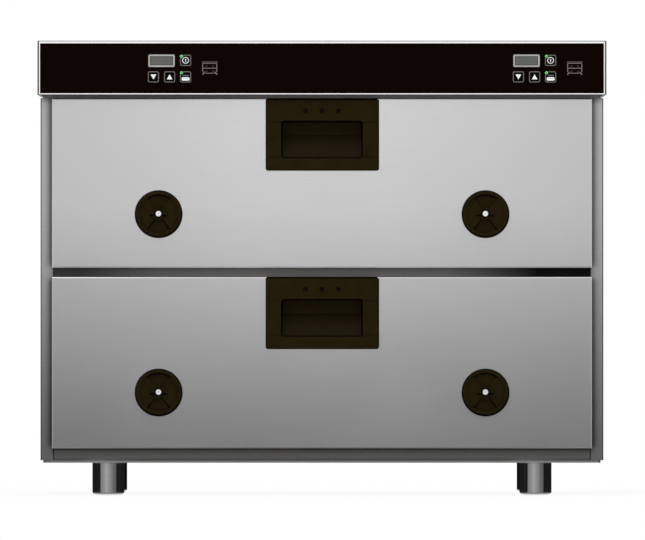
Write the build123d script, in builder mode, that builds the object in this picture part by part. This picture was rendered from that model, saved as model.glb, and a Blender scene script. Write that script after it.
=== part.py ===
"""Heated holding cabinet with two insulated drawers, on levelling feet.

Millimetres. +X to the right, the drawers open towards -Y, +Z up. The origin is on the floor
under the middle of the whole object.
"""

from build123d import *
from math import cos, radians, sin
import os

os.makedirs("parts", exist_ok=True)

# ---------------------------------------------------------------- driving dimensions
# Control hood
crown_width = 820.0
crown_height = 78.0
crown_gauge = 1.5
crown_side_round = 3.0
crown_edge_round = 1.6
crown_rear_lip = 4.0
crown_front_lip = 9.0
crown_flange = 10.0
neck_height = 4.5
neck_inset = 3.0
neck_side_inset = 4.0
neck_wall = 15.0
slot_length = 120.0
slot_width = 4.0
slot_pitch = 9.0
slot_rows = 4
slot_group_pitch = 240.0

# Casing
body_inset = 4.0
gauge = 1.2
fold = 2.2
hem = 12.0
side_return = 18.0
panel_round = 2.0
base_inset = 4.0
base_lip = 3.6
base_gauge = 1.5
base_round = 4.0
foot_height = 47.0
rear_insulation = 20.0
slab_play = 1.0
divider_setback = 2.0
stud_radius = 3.0
stud_length = 16.0
stud_nut_radius = 5.7
stud_nut_height = 5.0
stud_side = 60.0
stud_rise = 40.0

# Drawer fronts
stile_width = 16.75
roof_show = 0.8
front_depth = 26.0
upper_front_height = 243.9
lower_front_height = 247.1
sill_show = 17.4
front_gap = 13.2
front_overlap = 3.0
front_fold = 2.0
front_gauge = 1.0
seal_depth = 3.0
seal_clear = 0.3
seal_lip = 5.0
seal_lip_depth = 10.0
seal_edge = 1.0
seal_round = 3.0
seal_lip_round = 4.0
plug_depth = 16.0

# Chambers and slides
liner_gauge = 1.0
liner_round = 8.0
slide_trim = 2.0
slide_height = 46.0
slide_gauge = 1.6
slide_bend = 2.0
slide_play = 0.4
slide_setback = 4.0
channel_reach = 11.0
channel_lip = 4.0
middle_reach = 9.2
middle_web = 2.1
runner_hook = 4.2
runner_reach = 16.0

# Pan frame
pan_length = 530.0
pan_width = 325.0
pan_rim = 8.5
pan_gap = 5.0
pan_corner = 20.0
pan_rear_clear = 11.8
deck_drop = 26.0
deck_gauge = 1.5
deck_skirt = 38.0
deck_margin = 11.0
bay_collar = 12.0

# Handle
handle_width = 162.0
handle_height = 103.6
handle_proud = 1.6
handle_lap = 2.0
handle_corner = 3.0
handle_depth = 24.4
handle_rear_play = 0.6
handle_edge_round = 0.8
pocket_width = 117.3
pocket_height = 54.0
pocket_top = 32.1
pocket_depth = 21.0
pocket_undercut = 9.0
pocket_corner = 4.0
pocket_draft = 7.0
pocket_toe = 4.0
pocket_ramp = 33.5
pocket_edge_round = 0.8
bar_depth = 8.0
groove_drop_top = 34.0
groove_drop_bottom = 84.4
groove_width = 1.4
groove_depth = 0.8
screw_drop = 17.7
screw_pitch = 23.5
screw_recess = 3.5
screw_sink = 3.0
screw_head_radius = 3.1
screw_head_height = 1.5
screw_shank = 2.0
screw_play = 0.1

# Vents
vent_side_inset = 153.65
vent_drop = 166.0
vent_radius = 33.65
vent_proud = 4.4
vent_round = 2.4
vent_bore = 27.9
vent_fit = 0.1
vent_wall = 1.6
seat_front = 1.0
seat_gauge = 2.0
seat_open = 25.4
hub_radius = 7.6
boss_radius = 5.5
boss_length = 9.0
hub_flare = 1.2
wing_half_angle = 52.5
wing_gauge = 2.6
wing_rib = 1.8
wing_rib_inset = 1.0
wing_rib_height = 0.9
wing_rib_angle = 6.0
hub_height = 3.6
shutter_gap = 0.3
grip_length = 26.0
grip_width = 4.4
grip_height = 2.8
pivot_radius = 2.5
pivot_play = 0.1
pivot_head_radius = 4.2
pivot_head_height = 1.6
pivot_head_round = 0.5
pivot_head_play = 0.6
pivot_socket_radius = 1.35
pivot_socket_depth = 1.0
pivot_blind = 2.0

# Controls
panel_side_border = 4.5
panel_top_border = 4.2
panel_bottom_border = 3.2
panel_corner = 2.0
panel_sink = 0.4
panel_flange = 1.4
panel_flange_height = 1.12
panel_flange_gauge = 2.0
left_group_inset = 174.3
right_group_inset = 110.7
display_width = 38.2
display_height = 19.0
display_play = 0.2
key_size = 16.5
key_play = 0.3
key_corner = 1.8
key_proud = 0.3
key_travel = 0.5
key_flange = 1.4
key_flange_gauge = 1.2
key_stem_radius = 2.5
key_stem_length = 3.0
arrow_pitch = 23.3
option_offset = 34.7
row_upper = 11.2
row_lower = -12.6
lamp_radius = 2.0
lamp_offset = 5.9
board_setback = 13.0
board_gauge = 1.6
board_width = 116.0
board_height = 60.0
board_parts = {
    "relay": ((-30.0, 14.0), (28.0, 14.0)),
    "connector": ((20.0, 14.0), (36.0, 10.0)),
    "driver": ((5.0, -16.0), (70.0, 9.0)),
}
board_part_height = 12.0
post_radius = 3.0
post_side_inset = 6.0
post_edge_inset = 5.0
switch_size = 6.0
switch_play = 0.1

# Feet
foot_radius = 23.15
foot_side_inset = 93.4
foot_inset = 60.0
foot_wall = 3.2
foot_play = 0.3
foot_toe = 3.5
foot_chamfer = 4.5
stem_top_gap = 4.0
stem_play = 1.0

# Heating, sensing, supply
heater_radius = 4.0
heater_bend = 32.0
heater_passes = 6
heater_spacing = 8.0
heater_clear = 0.3
heater_margin = 60.0
terminal_radius = 2.0
terminal_length = 14.0
probe_radius = 3.0
probe_length = 90.0
probe_drop = 60.0
probe_stand = 2.0
probe_bracket_width = 20.0
probe_bracket_height = 16.0
hood_insulation = 20.0
slab_joint = 0.3
gland_reach = 22.0
gland_thread_radius = 10.0
gland_bore = 5.5
gland_play = 0.2
gland_inset = 90.0
gland_inside = 10.0
gland_nut = 4.0
gland_nut_height = 5.0
gland_hexagon_height = 6.0
gland_dome = 2.0
gland_dome_round = 5.0
power_setback = 139.0
power_gap = 15.0
power_height = 26.0
power_round = 2.0
transformer_place = (150.0, 40.0)
transformer_core = (66.0, 54.0)
transformer_coil = (46.0, 30.0)
transformer_coil_height = 16.0
transformer_coil_round = 6.0
relay_places = ((-60.0, 30.0), (20.0, 30.0))
relay_size = (46.0, 60.0)
strip_place = (-200.0, 30.0)
strip_size = (90.0, 26.0)
strip_ways = 8
strip_pitch = 10.0
strip_hole_radius = 3.2
strip_hole_depth = 8.0

# ---------------------------------------------------------------- derived levels
body_width = crown_width - 2 * body_inset
base_width = body_width - 2 * base_inset
neck_width = body_width - 2 * neck_side_inset
front_width = body_width - 2 * stile_width
deck_length = pan_length + 2 * deck_margin
slide_length = deck_length - slide_trim
pan_pitch = pan_width + pan_gap
front_stack = lower_front_height + front_gap + upper_front_height
body_height = sill_show + front_stack + roof_show

z_base = foot_height
z_body = z_base + base_lip
z_roof = z_body + body_height
z_crown = z_roof + neck_height
z_top = z_crown + crown_height

drawer_depth = front_depth + plug_depth + deck_length + pan_rear_clear
crown_depth = crown_front_lip + drawer_depth + rear_insulation + gauge + crown_rear_lip
overall_depth = crown_depth + gland_reach
y_crown = -overall_depth / 2
y_crown_back = y_crown + crown_depth
y_front = y_crown + crown_front_lip
y_front_back = y_front + front_depth
y_frame = y_front_back + seal_depth + seal_clear
y_back = y_crown_back - crown_rear_lip
y_plug = y_front_back + plug_depth
y_liner_back = y_back - gauge - rear_insulation
y_power = y_crown_back - power_setback

half_open = front_width / 2 - front_overlap
half_body = body_width / 2
half_liner = half_open - liner_gauge
half_plug = half_liner - seal_clear - seal_lip
gland_x = gland_inset - crown_width / 2

z_lower_front = z_body + sill_show
z_upper_front = z_lower_front + lower_front_height + front_gap
front_spans = {
    "lower": (z_lower_front, z_lower_front + lower_front_height),
    "upper": (z_upper_front, z_upper_front + upper_front_height),
}
opening_spans = {
    level: (low + front_overlap, high - front_overlap)
    for level, (low, high) in front_spans.items()
}

channel_half = slide_height / 2
middle_half = channel_half - slide_gauge - slide_play
runner_half = middle_half - slide_gauge - slide_play

spigot_radius = vent_bore - vent_fit
wing_radius = spigot_radius - shutter_gap

panel_width = crown_width - 2 * panel_side_border
panel_height = crown_height - panel_top_border - panel_bottom_border
z_panel = z_crown + panel_bottom_border + panel_height / 2
y_panel_back = y_crown + crown_gauge + panel_flange_gauge
y_board = y_crown + board_setback
display_xs = {
    "left": left_group_inset - panel_width / 2,
    "right": panel_width / 2 - right_group_inset,
}


def save(piece, name):
    """Label a finished piece and write it as one STEP file."""
    piece.part.label = name
    export_step(piece.part, f"parts/{name}.step")


def facing(y):
    """Plane parallel to the front at y: local x is +X, local y is +Z, extrusion runs to -Y."""
    return Plane.XZ.offset(-y)


def folded_sheet(plane, points, sheet_gauge, radius, length):
    """Sheet metal folded along an open outline whose inside lies on its left."""
    with BuildPart() as sheet:
        with BuildSketch(plane):
            with BuildLine():
                FilletPolyline(*points, radius=radius)
                offset(amount=sheet_gauge, side=Side.LEFT)
            make_face()
        extrude(amount=length)
    return sheet


def mirrored(piece):
    """The same piece for the other side of the cabinet."""
    with BuildPart() as copy:
        mirror(piece.part, about=Plane.YZ)
    return copy


# ---------------------------------------------------------------- casing
def casing_side():
    """Right-hand side: front hem and flange, side wall, rear flange, bottom return."""
    y_end = y_back - gauge
    outline = [
        (half_open, y_frame + hem),
        (half_open, y_frame),
        (half_body, y_frame),
        (half_body, y_end),
        (half_body - side_return, y_end),
    ]
    with BuildPart() as side:
        add(folded_sheet(Plane.XY.offset(z_body), outline, gauge, fold, body_height).part)
        with BuildSketch(Plane.XY.offset(z_body)):
            with Locations((half_body - gauge / 2, (y_frame + y_end) / 2)):
                Rectangle(side_return, y_end - y_frame - 2 * fold, align=(Align.MAX, Align.CENTER))
        extrude(amount=gauge)
        with BuildSketch(Plane.XY.offset(z_roof)):
            with Locations((0, y_frame + fold)):
                Rectangle(half_body - gauge, y_end - y_frame - fold, align=Align.MIN)
        extrude(amount=-gauge, mode=Mode.SUBTRACT)
    return side


def rear_panel():
    """Flat back with an earth stud low on the left."""
    stud_place = (stud_side - half_body, z_body + stud_rise)
    with BuildPart() as panel:
        with BuildSketch(facing(y_back)):
            with Locations((0, (z_body + z_roof) / 2)):
                RectangleRounded(body_width - 2 * gauge, body_height - gauge, panel_round)
        extrude(amount=gauge)
        with BuildSketch(facing(y_back)):
            with Locations(stud_place):
                Circle(stud_radius)
        extrude(amount=-stud_length)
        with BuildSketch(facing(y_back)):
            with Locations(stud_place):
                RegularPolygon(stud_nut_radius, 6)
        extrude(amount=-stud_nut_height)
    return panel


def roof_panel():
    """Roof sheet with a narrow front flange that closes the upper drawer opening."""
    lip = z_roof - opening_spans["upper"][1]
    with BuildPart() as roof:
        with BuildSketch(Plane.XY.offset(z_roof - gauge)):
            with Locations((0, y_frame + fold)):
                Rectangle(
                    body_width - 2 * gauge,
                    y_back - gauge - y_frame - fold,
                    align=(Align.CENTER, Align.MIN),
                )
        extrude(amount=gauge)
        outline = [(y_frame + 3 * fold, z_roof), (y_frame, z_roof), (y_frame, z_roof - lip)]
        nose = folded_sheet(Plane.YZ.offset(-half_open), outline, gauge, fold, 2 * half_open)
        add(nose.part)
    return roof


def base_tray():
    """Inverted tray that carries the casing and takes the feet."""
    y_end = y_back - crown_rear_lip
    y_start = y_frame + crown_rear_lip
    with BuildPart() as tray:
        with BuildSketch(Plane.XY.offset(z_base)):
            with Locations((0, (y_start + y_end) / 2)):
                RectangleRounded(base_width, y_end - y_start, base_round)
        extrude(amount=base_lip)
        offset(amount=-base_gauge, openings=tray.faces().sort_by(Axis.Z)[0])
    return tray


def front_sill():
    """Bottom rail of the front frame."""
    top = opening_spans["lower"][0]
    outline = [
        (y_frame + hem, top),
        (y_frame, top),
        (y_frame, z_body),
        (y_frame + side_return, z_body),
    ]
    return folded_sheet(Plane.YZ.offset(-half_open), outline, gauge, fold, 2 * half_open)


def divider_rail():
    """Channel-shaped rail between the two drawer openings, set back a little."""
    low = opening_spans["lower"][1]
    high = opening_spans["upper"][0]
    y_face = y_frame + divider_setback
    outline = [
        (y_face + side_return, high),
        (y_face, high),
        (y_face, low),
        (y_face + side_return, low),
    ]
    return folded_sheet(Plane.YZ.offset(-half_open), outline, gauge, fold, 2 * half_open)


def chamber(level):
    """Liner of one drawer: a box open to the front with rounded rear corners."""
    low, high = opening_spans[level]
    with BuildPart() as liner:
        with BuildSketch(facing(y_frame)):
            with Locations((0, (low + high) / 2)):
                Rectangle(2 * half_open, high - low)
        extrude(amount=-(y_liner_back - y_frame))
        rear = liner.faces().sort_by(Axis.Y)[-1]
        fillet(rear.edges(), radius=liner_round)
        offset(amount=-liner_gauge, openings=liner.faces().sort_by(Axis.Y)[0])
    return liner


def insulation():
    """Slabs that fill the space between liners and casing, and one under the electronics."""
    y_inner = y_frame + side_return + divider_setback + slab_play
    z_low = z_body + gauge
    z_high = z_roof - gauge
    side_start = y_frame + hem + slab_play
    side_end = y_back - 2 * gauge - slab_play
    heater_space = 2 * (heater_radius + heater_clear)
    lower_low, lower_high = opening_spans["lower"]
    upper_low, upper_high = opening_spans["upper"]
    z_hood = z_crown + gauge
    wide = (-half_open, half_open)
    between = (y_inner, y_liner_back - slab_joint)
    slabs = [
        ((half_open + slab_joint, half_body - gauge), (side_start, side_end), (z_low, z_high)),
        ((-half_body + gauge, -half_open - slab_joint), (side_start, side_end), (z_low, z_high)),
        (wide, (y_liner_back, y_back - gauge), (z_body, z_high)),
        (wide, between, (z_body, lower_low - heater_space)),
        (wide, between, (lower_high, upper_low - heater_space)),
        (wide, (y_frame + hem, y_power - power_gap), (z_hood, z_hood + hood_insulation)),
    ]
    with BuildPart() as wool:
        for (x_low, x_high), (y_low, y_high), (z_bottom, z_over) in slabs:
            with BuildSketch(Plane.XY.offset(z_bottom)):
                with Locations(((x_low + x_high) / 2, (y_low + y_high) / 2)):
                    Rectangle(x_high - x_low, y_high - y_low)
            extrude(amount=z_over - z_bottom)
    return wool


def heater(level):
    """Tubular element in a serpentine, clamped under the chamber floor."""
    z_axis = opening_spans[level][0] - heater_clear - heater_radius
    y_far = y_frame + heater_margin + side_return
    y_near = y_liner_back - heater_margin
    pitch = 2 * heater_bend + heater_spacing
    first_x = -pitch * (heater_passes - 1) / 2
    route = []
    for i in range(heater_passes):
        x = first_x + i * pitch
        ends = [y_near, y_far] if i % 2 == 0 else [y_far, y_near]
        route += [(x, ends[0]), (x, ends[1])]
    with BuildPart() as element:
        with BuildLine(Plane.XY.offset(z_axis)) as path:
            FilletPolyline(*route, radius=heater_bend)
        with BuildSketch(Plane(origin=(first_x, y_near, z_axis), z_dir=(0, -1, 0))):
            Circle(heater_radius)
        sweep(path=path.line)
        for x in (first_x, -first_x):
            with BuildSketch(facing(y_near).shift_origin((x, y_near, z_axis))):
                Circle(terminal_radius)
            extrude(amount=-terminal_length)
    return element


def chamber_probes():
    """Temperature probe across the rear wall of each chamber, on its bracket."""
    y_wall = y_liner_back - liner_gauge
    with BuildPart() as probes:
        for level in ("lower", "upper"):
            z_axis = opening_spans[level][1] - probe_drop
            stand = probe_radius + probe_stand
            with BuildSketch(Plane.YZ.offset(-probe_length / 2)):
                with Locations((y_wall - stand, z_axis)):
                    Circle(probe_radius)
            extrude(amount=probe_length)
            with BuildSketch(Plane.YZ.offset(-probe_bracket_width / 2)):
                with Locations((y_wall, z_axis)):
                    Rectangle(stand, probe_bracket_height, align=(Align.MAX, Align.CENTER))
            extrude(amount=probe_bracket_width)
    return probes


# ---------------------------------------------------------------- telescopic slides
def slide_level(level):
    """Height of the slide axis: the runner's web lies inside the pan frame's skirt."""
    deck_top = opening_spans[level][1] - liner_gauge - deck_drop
    return deck_top - deck_gauge - slide_height / 2 - slide_play


def slide_pair(level, outline, y_start, length):
    """One folded member extruded along the travel, and its mirror image on the other wall."""
    axis_z = slide_level(level)
    wall = -half_liner
    points = [(wall + reach, axis_z + height) for reach, height in outline]
    member = folded_sheet(facing(y_start), points, slide_gauge, slide_bend, -length)
    with BuildPart() as pair:
        add(member.part)
        mirror(about=Plane.YZ)
    return pair


def c_outline(web, reach, half_height, lip):
    """Outline of a channel that opens towards the drawer, with lips turned to its middle."""
    return [
        (reach, half_height - lip),
        (reach, half_height),
        (web, half_height),
        (web, -half_height),
        (reach, -half_height),
        (reach, -half_height + lip),
    ]


def slide_channels():
    """Fixed outer members on the walls of both chambers."""
    outline = c_outline(0, channel_reach, channel_half, channel_lip)
    with BuildPart() as channels:
        for level in ("lower", "upper"):
            add(slide_pair(level, outline, y_plug + slide_setback, slide_length).part)
    return channels


def slide_middles(level):
    """Middle members, which travel half as far as the drawer."""
    outline = c_outline(middle_web, middle_reach, middle_half, channel_lip)
    return slide_pair(level, outline, y_plug + slide_setback, slide_length - slide_setback)


def slide_runners(level):
    """Inner members: a web on the drawer and two hooks held behind the middle's lips."""
    hook_root = runner_half - channel_lip
    web = runner_reach - slide_gauge
    outline = [
        (runner_hook, runner_half),
        (runner_hook, hook_root),
        (web, hook_root),
        (web, -hook_root),
        (runner_hook, -hook_root),
        (runner_hook, -runner_half),
    ]
    return slide_pair(level, outline, y_plug, slide_length - slide_setback)


# ---------------------------------------------------------------- drawers
def pan_frame(level):
    """Pressed deck with two pan bays, a skirt that takes the runners and bay collars."""
    top = opening_spans[level][1] - liner_gauge - deck_drop
    width = 2 * (half_liner - runner_reach)
    y_mid = y_plug + deck_length / 2
    bay_width = pan_width - 2 * pan_rim
    bay_length = pan_length - 2 * pan_rim
    with BuildPart() as frame:
        with BuildSketch(Plane.XY.offset(top)):
            with Locations((0, y_mid)):
                Rectangle(width, deck_length)
        extrude(amount=-deck_skirt)
        offset(amount=-deck_gauge, openings=frame.faces().sort_by(Axis.Z)[0])
        with BuildSketch(Plane.XY.offset(top)):
            with Locations((-pan_pitch / 2, y_mid), (pan_pitch / 2, y_mid)):
                RectangleRounded(bay_width + 2 * deck_gauge, bay_length + 2 * deck_gauge, pan_corner)
        extrude(amount=-bay_collar)
        with BuildSketch(Plane.XY.offset(top)):
            with Locations((-pan_pitch / 2, y_mid), (pan_pitch / 2, y_mid)):
                RectangleRounded(bay_width, bay_length, pan_corner - deck_gauge)
        extrude(amount=-bay_collar, mode=Mode.SUBTRACT)
    return frame


def vent_places(level):
    """Centres of the two vents on a drawer front, in the front's plane."""
    x = front_width / 2 - vent_side_inset
    z = front_spans[level][1] - vent_drop
    return [(-x, z), (x, z)]


def handle_notch(level):
    """Outline of the pull's notch in a front, open at the front's top edge."""
    width = handle_width - 2 * handle_lap
    height = handle_height - handle_lap
    with BuildSketch(facing(y_front)) as notch:
        with Locations((0, front_spans[level][1] - height / 2)):
            Rectangle(width, height)
    return notch.sketch


def front_skin(level):
    """Outer pan of the drawer front: folded edges, the pull's notch and two vent holes."""
    low, high = front_spans[level]
    notch = handle_notch(level)
    with BuildPart() as skin:
        with BuildSketch(facing(y_front)):
            with Locations((0, (low + high) / 2)):
                Rectangle(front_width, high - low)
        extrude(amount=-front_depth)
        face = skin.faces().sort_by(Axis.Y)[0]
        fillet(face.edges(), radius=front_fold)
        offset(amount=-front_gauge, openings=skin.faces().sort_by(Axis.Y)[-1])
        extrude(notch, amount=-front_depth, mode=Mode.SUBTRACT)
        with BuildSketch(facing(y_front)):
            with Locations(*vent_places(level)):
                Circle(vent_bore)
        extrude(amount=-front_depth, mode=Mode.SUBTRACT)
    return skin


def plug_span(level):
    """Low and high edge of the plug that enters the chamber mouth."""
    low, high = opening_spans[level]
    inset = liner_gauge + seal_clear + seal_lip
    return low + inset, high - inset


def front_liner(level):
    """Inner panel of the drawer front: a back plate with a pressed plug."""
    low, high = front_spans[level]
    plug_low, plug_high = plug_span(level)
    with BuildPart() as panel:
        with BuildSketch(facing(y_front_back)):
            with Locations((0, (plug_low + plug_high) / 2)):
                Rectangle(2 * half_plug, plug_high - plug_low)
        extrude(amount=-plug_depth)
        fillet(panel.faces().sort_by(Axis.Y)[-1].edges(), radius=front_fold)
        offset(amount=-liner_gauge, openings=panel.faces().sort_by(Axis.Y)[0])
        with BuildSketch(facing(y_front_back)):
            with Locations((0, (low + high) / 2)):
                Rectangle(front_width - 2 * front_gauge, high - low - 2 * front_gauge)
            with Locations((0, (plug_low + plug_high) / 2)):
                Rectangle(
                    2 * (half_plug - liner_gauge),
                    plug_high - plug_low - 2 * liner_gauge,
                    mode=Mode.SUBTRACT,
                )
        extrude(amount=liner_gauge)
        with BuildSketch(facing(y_plug)):
            with Locations(*vent_places(level)):
                Circle(vent_bore)
        extrude(amount=2 * plug_depth, mode=Mode.SUBTRACT)
    return panel


def front_insulation(level):
    """Insulation between the two panels of the front."""
    low, high = front_spans[level]
    plug_low, plug_high = plug_span(level)
    notch = handle_notch(level)
    with BuildPart() as block:
        with BuildSketch(facing(y_front + front_gauge)):
            with Locations((0, (low + high) / 2)):
                RectangleRounded(
                    front_width - 2 * front_gauge,
                    high - low - 2 * front_gauge,
                    front_fold - front_gauge,
                )
        extrude(amount=-(front_depth - front_gauge - liner_gauge))
        chamfer(block.faces().sort_by(Axis.Y)[0].edges(), length=front_fold - front_gauge)
        with BuildSketch(facing(y_front_back - liner_gauge)):
            with Locations((0, (plug_low + plug_high) / 2)):
                Rectangle(
                    2 * (half_plug - front_fold),
                    plug_high - plug_low - 2 * front_fold,
                )
        extrude(amount=-plug_depth)
        extrude(notch, amount=-(handle_depth + handle_rear_play), mode=Mode.SUBTRACT)
        with BuildSketch(facing(y_front)):
            with Locations(*vent_places(level)):
                Circle(vent_bore)
        extrude(amount=-(front_depth + plug_depth), mode=Mode.SUBTRACT)
    return block


def gasket(level):
    """Silicone seal: a flat ring behind the front and a lip round the plug."""
    low, high = front_spans[level]
    plug_low, plug_high = plug_span(level)
    z_mid = (low + high) / 2
    plug_mid = (plug_low + plug_high) / 2
    width = front_width - 2 * seal_edge
    height = high - low - 2 * seal_edge
    with BuildPart() as seal:
        with BuildSketch(facing(y_front_back)):
            with Locations((0, z_mid)):
                RectangleRounded(width, height, seal_round)
            with Locations((0, plug_mid)):
                Rectangle(2 * half_plug, plug_high - plug_low, mode=Mode.SUBTRACT)
        extrude(amount=-seal_depth)
        with BuildSketch(facing(y_front_back + seal_depth)):
            with Locations((0, plug_mid)):
                RectangleRounded(
                    2 * (half_plug + seal_lip),
                    plug_high - plug_low + 2 * seal_lip,
                    seal_lip_round,
                )
                Rectangle(2 * half_plug, plug_high - plug_low, mode=Mode.SUBTRACT)
        extrude(amount=-seal_lip_depth)
    return seal


def finger_pocket(level):
    """Space of the finger pocket: drafted mouth, ramped floor and an undercut behind the bar."""
    y_face = y_front - handle_proud
    y_floor = y_face + pocket_depth
    mouth_top = front_spans[level][1] - pocket_top
    mouth_bottom = mouth_top - pocket_height
    ramp = [
        (y_face, mouth_bottom),
        (y_face + pocket_toe, mouth_bottom),
        (y_floor, mouth_bottom + pocket_ramp),
        (y_floor, mouth_top),
        (y_face, mouth_top),
    ]
    with BuildPart() as pocket:
        with BuildSketch(facing(y_face)):
            with Locations((0, (mouth_top + mouth_bottom) / 2)):
                RectangleRounded(pocket_width, pocket_height, pocket_corner)
        extrude(amount=-pocket_depth, taper=pocket_draft)
        with BuildSketch(Plane.YZ.offset(-pocket_width / 2)):
            with BuildLine():
                Polyline(*ramp, close=True)
            make_face()
        extrude(amount=pocket_width, mode=Mode.INTERSECT)
        with BuildSketch(facing(y_face + bar_depth)):
            with Locations((0, mouth_top)):
                RectangleRounded(
                    pocket_width - 2 * pocket_corner,
                    2 * pocket_undercut,
                    pocket_corner,
                )
        extrude(amount=-(pocket_depth - bar_depth))
    return pocket.part


def screw_circles(level, radius):
    """Circles at the pull's three screws."""
    with BuildSketch() as circles:
        with GridLocations(screw_pitch, 1, 3, 1):
            Circle(radius)
    return Pos(0, front_spans[level][1] - screw_drop) * circles.sketch


def handle(level):
    """Moulded pull: bezel over the notch's edges, body in it, finger pocket with undercut."""
    top = front_spans[level][1]
    y_face = y_front - handle_proud
    core_height = handle_height - handle_lap
    with BuildPart() as pull:
        with BuildSketch(facing(y_face)) as bezel:
            with Locations((0, top - handle_height / 2)):
                Rectangle(handle_width, handle_height)
            fillet(bezel.vertices().group_by(Axis.Z)[0], radius=handle_corner)
        extrude(amount=-handle_proud)
        fillet(pull.faces().sort_by(Axis.Y)[0].edges(), radius=handle_edge_round)
        with BuildSketch(facing(y_front)):
            with Locations((0, top - core_height / 2)):
                Rectangle(handle_width - 2 * handle_lap, core_height)
        extrude(amount=-handle_depth)
        add(finger_pocket(level), mode=Mode.SUBTRACT)
        mouth = [
            edge
            for edge in pull.edges().filter_by(lambda edge: abs(edge.center().Y - y_face) < 0.01)
            if abs(edge.center().X) < pocket_width / 2 + pocket_corner
            and edge.center().Z < top - pocket_top + pocket_corner
            and edge.center().Z > top - pocket_top - pocket_height - pocket_corner
        ]
        fillet(mouth, radius=pocket_edge_round)
        for drop in (groove_drop_top, groove_drop_bottom):
            with BuildSketch(facing(y_face)):
                with Locations((0, top - drop)):
                    Rectangle(handle_width, groove_width)
            extrude(amount=-groove_depth, mode=Mode.SUBTRACT)
        with BuildSketch(facing(y_face)):
            add(screw_circles(level, screw_recess))
        extrude(amount=-screw_sink, mode=Mode.SUBTRACT)
        with BuildSketch(facing(y_face)):
            add(screw_circles(level, screw_shank + screw_play))
        extrude(amount=-(handle_depth + handle_proud), mode=Mode.SUBTRACT)
    return pull


def front_screws(level):
    """The pull's three countersunk screws and the two pivot screws of the vents."""
    y_seat = y_front - handle_proud + screw_sink
    y_pivot = y_front - seat_front - shutter_gap - hub_height
    pivot_length = hub_height + shutter_gap + seat_gauge + boss_length - pivot_blind
    with BuildPart() as screws:
        with BuildSketch(facing(y_seat)):
            add(screw_circles(level, screw_head_radius))
        extrude(amount=screw_head_height)
        with BuildSketch(facing(y_seat)):
            add(screw_circles(level, screw_shank))
        extrude(amount=-(handle_depth - screw_sink))
        with BuildSketch(facing(y_pivot)):
            with Locations(*vent_places(level)):
                Circle(pivot_head_radius)
        extrude(amount=pivot_head_height)
        heads = screws.faces().sort_by(Axis.Y)[:2]
        fillet(heads.edges(), radius=pivot_head_round)
        with BuildSketch(facing(y_pivot - pivot_head_height)):
            with Locations(*vent_places(level)):
                RegularPolygon(pivot_socket_radius, 6)
        extrude(amount=-pivot_socket_depth, mode=Mode.SUBTRACT)
        with BuildSketch(facing(y_pivot)):
            with Locations(*vent_places(level)):
                Circle(pivot_radius)
        extrude(amount=-pivot_length)
    return screws


# ---------------------------------------------------------------- vents
def sector(inner, outer, start, sweep_angle):
    """Face between two radii over an angle."""
    with BuildSketch() as face:
        with BuildLine():
            CenterArc((0, 0), outer, start, sweep_angle)
            CenterArc((0, 0), inner, start, sweep_angle)
            for angle in (start, start + sweep_angle):
                c, s = cos(radians(angle)), sin(radians(angle))
                Line((inner * c, inner * s), (outer * c, outer * s))
        make_face()
    return face.sketch


def vent_plane(level, index, y):
    """Front-facing plane centred on one vent."""
    x, z = vent_places(level)[index]
    return Plane(origin=(x, y, z), x_dir=(1, 0, 0), z_dir=(0, -1, 0))


def vent_frames(level):
    """Fixed rings of both vents: rim, boss, spigot and a seat open behind the shutter's wings."""
    open_angle = 180 - 2 * wing_half_angle
    spigot_length = front_depth + plug_depth
    starts = (-open_angle / 2, 180 - open_angle / 2)
    openings = [sector(hub_radius, seat_open, start, open_angle) for start in starts]
    with BuildPart() as frames:
        for index in (0, 1):
            here = vent_plane(level, index, y_front)
            with BuildSketch(here):
                Circle(vent_radius)
                Circle(spigot_radius, mode=Mode.SUBTRACT)
            extrude(amount=vent_proud)
            with BuildSketch(here.offset(-spigot_length)):
                Circle(spigot_radius)
                Circle(spigot_radius - vent_wall, mode=Mode.SUBTRACT)
            extrude(amount=spigot_length)
            with BuildSketch(here.offset(seat_front - seat_gauge)):
                Circle(spigot_radius)
                for opening in openings:
                    add(opening, mode=Mode.SUBTRACT)
            extrude(amount=seat_gauge)
            with BuildSketch(here.offset(seat_front)):
                Circle(boss_radius)
            extrude(amount=-(seat_gauge + boss_length))
            with BuildSketch(here.offset(seat_front)):
                Circle(pivot_radius + pivot_play)
            extrude(amount=-(seat_gauge + boss_length), mode=Mode.SUBTRACT)
        rims = frames.edges().filter_by(GeomType.CIRCLE)
        outer = [
            edge for edge in rims
            if edge.radius > vent_radius - 0.01 and edge.center().Y < y_front - 0.01
        ]
        fillet(outer, radius=vent_round)
    return frames


def vent_shutter(level, index):
    """Butterfly shutter with a grip bar, turning on the pivot screw."""
    here = vent_plane(level, index, y_front - seat_front - shutter_gap)
    starts = (-wing_half_angle, 180 - wing_half_angle)
    wing_angle = 2 * wing_half_angle
    wings = [sector(hub_radius, wing_radius, start, wing_angle) for start in starts]
    rib_outer = wing_radius - wing_rib_inset
    rib_angle = wing_angle - 2 * wing_rib_angle
    ribs = [
        sector(rib_outer - wing_rib, rib_outer, start + wing_rib_angle, rib_angle)
        for start in starts
    ]
    with BuildPart() as shutter:
        with BuildSketch(here):
            Circle(hub_radius + hub_flare)
        extrude(amount=hub_height)
        with BuildSketch(here):
            add(wings)
        extrude(amount=wing_gauge)
        with BuildSketch(here.offset(wing_gauge)):
            add(ribs)
        extrude(amount=wing_rib_height)
        with BuildSketch(here.offset(wing_gauge)):
            SlotOverall(grip_length, grip_width)
        extrude(amount=grip_height)
        with BuildSketch(here.offset(hub_height)):
            Circle(pivot_head_radius + pivot_head_play)
        extrude(amount=grip_height, mode=Mode.SUBTRACT)
        with BuildSketch(here):
            Circle(pivot_radius + pivot_play)
        extrude(amount=hub_height, mode=Mode.SUBTRACT)
    return shutter


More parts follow.
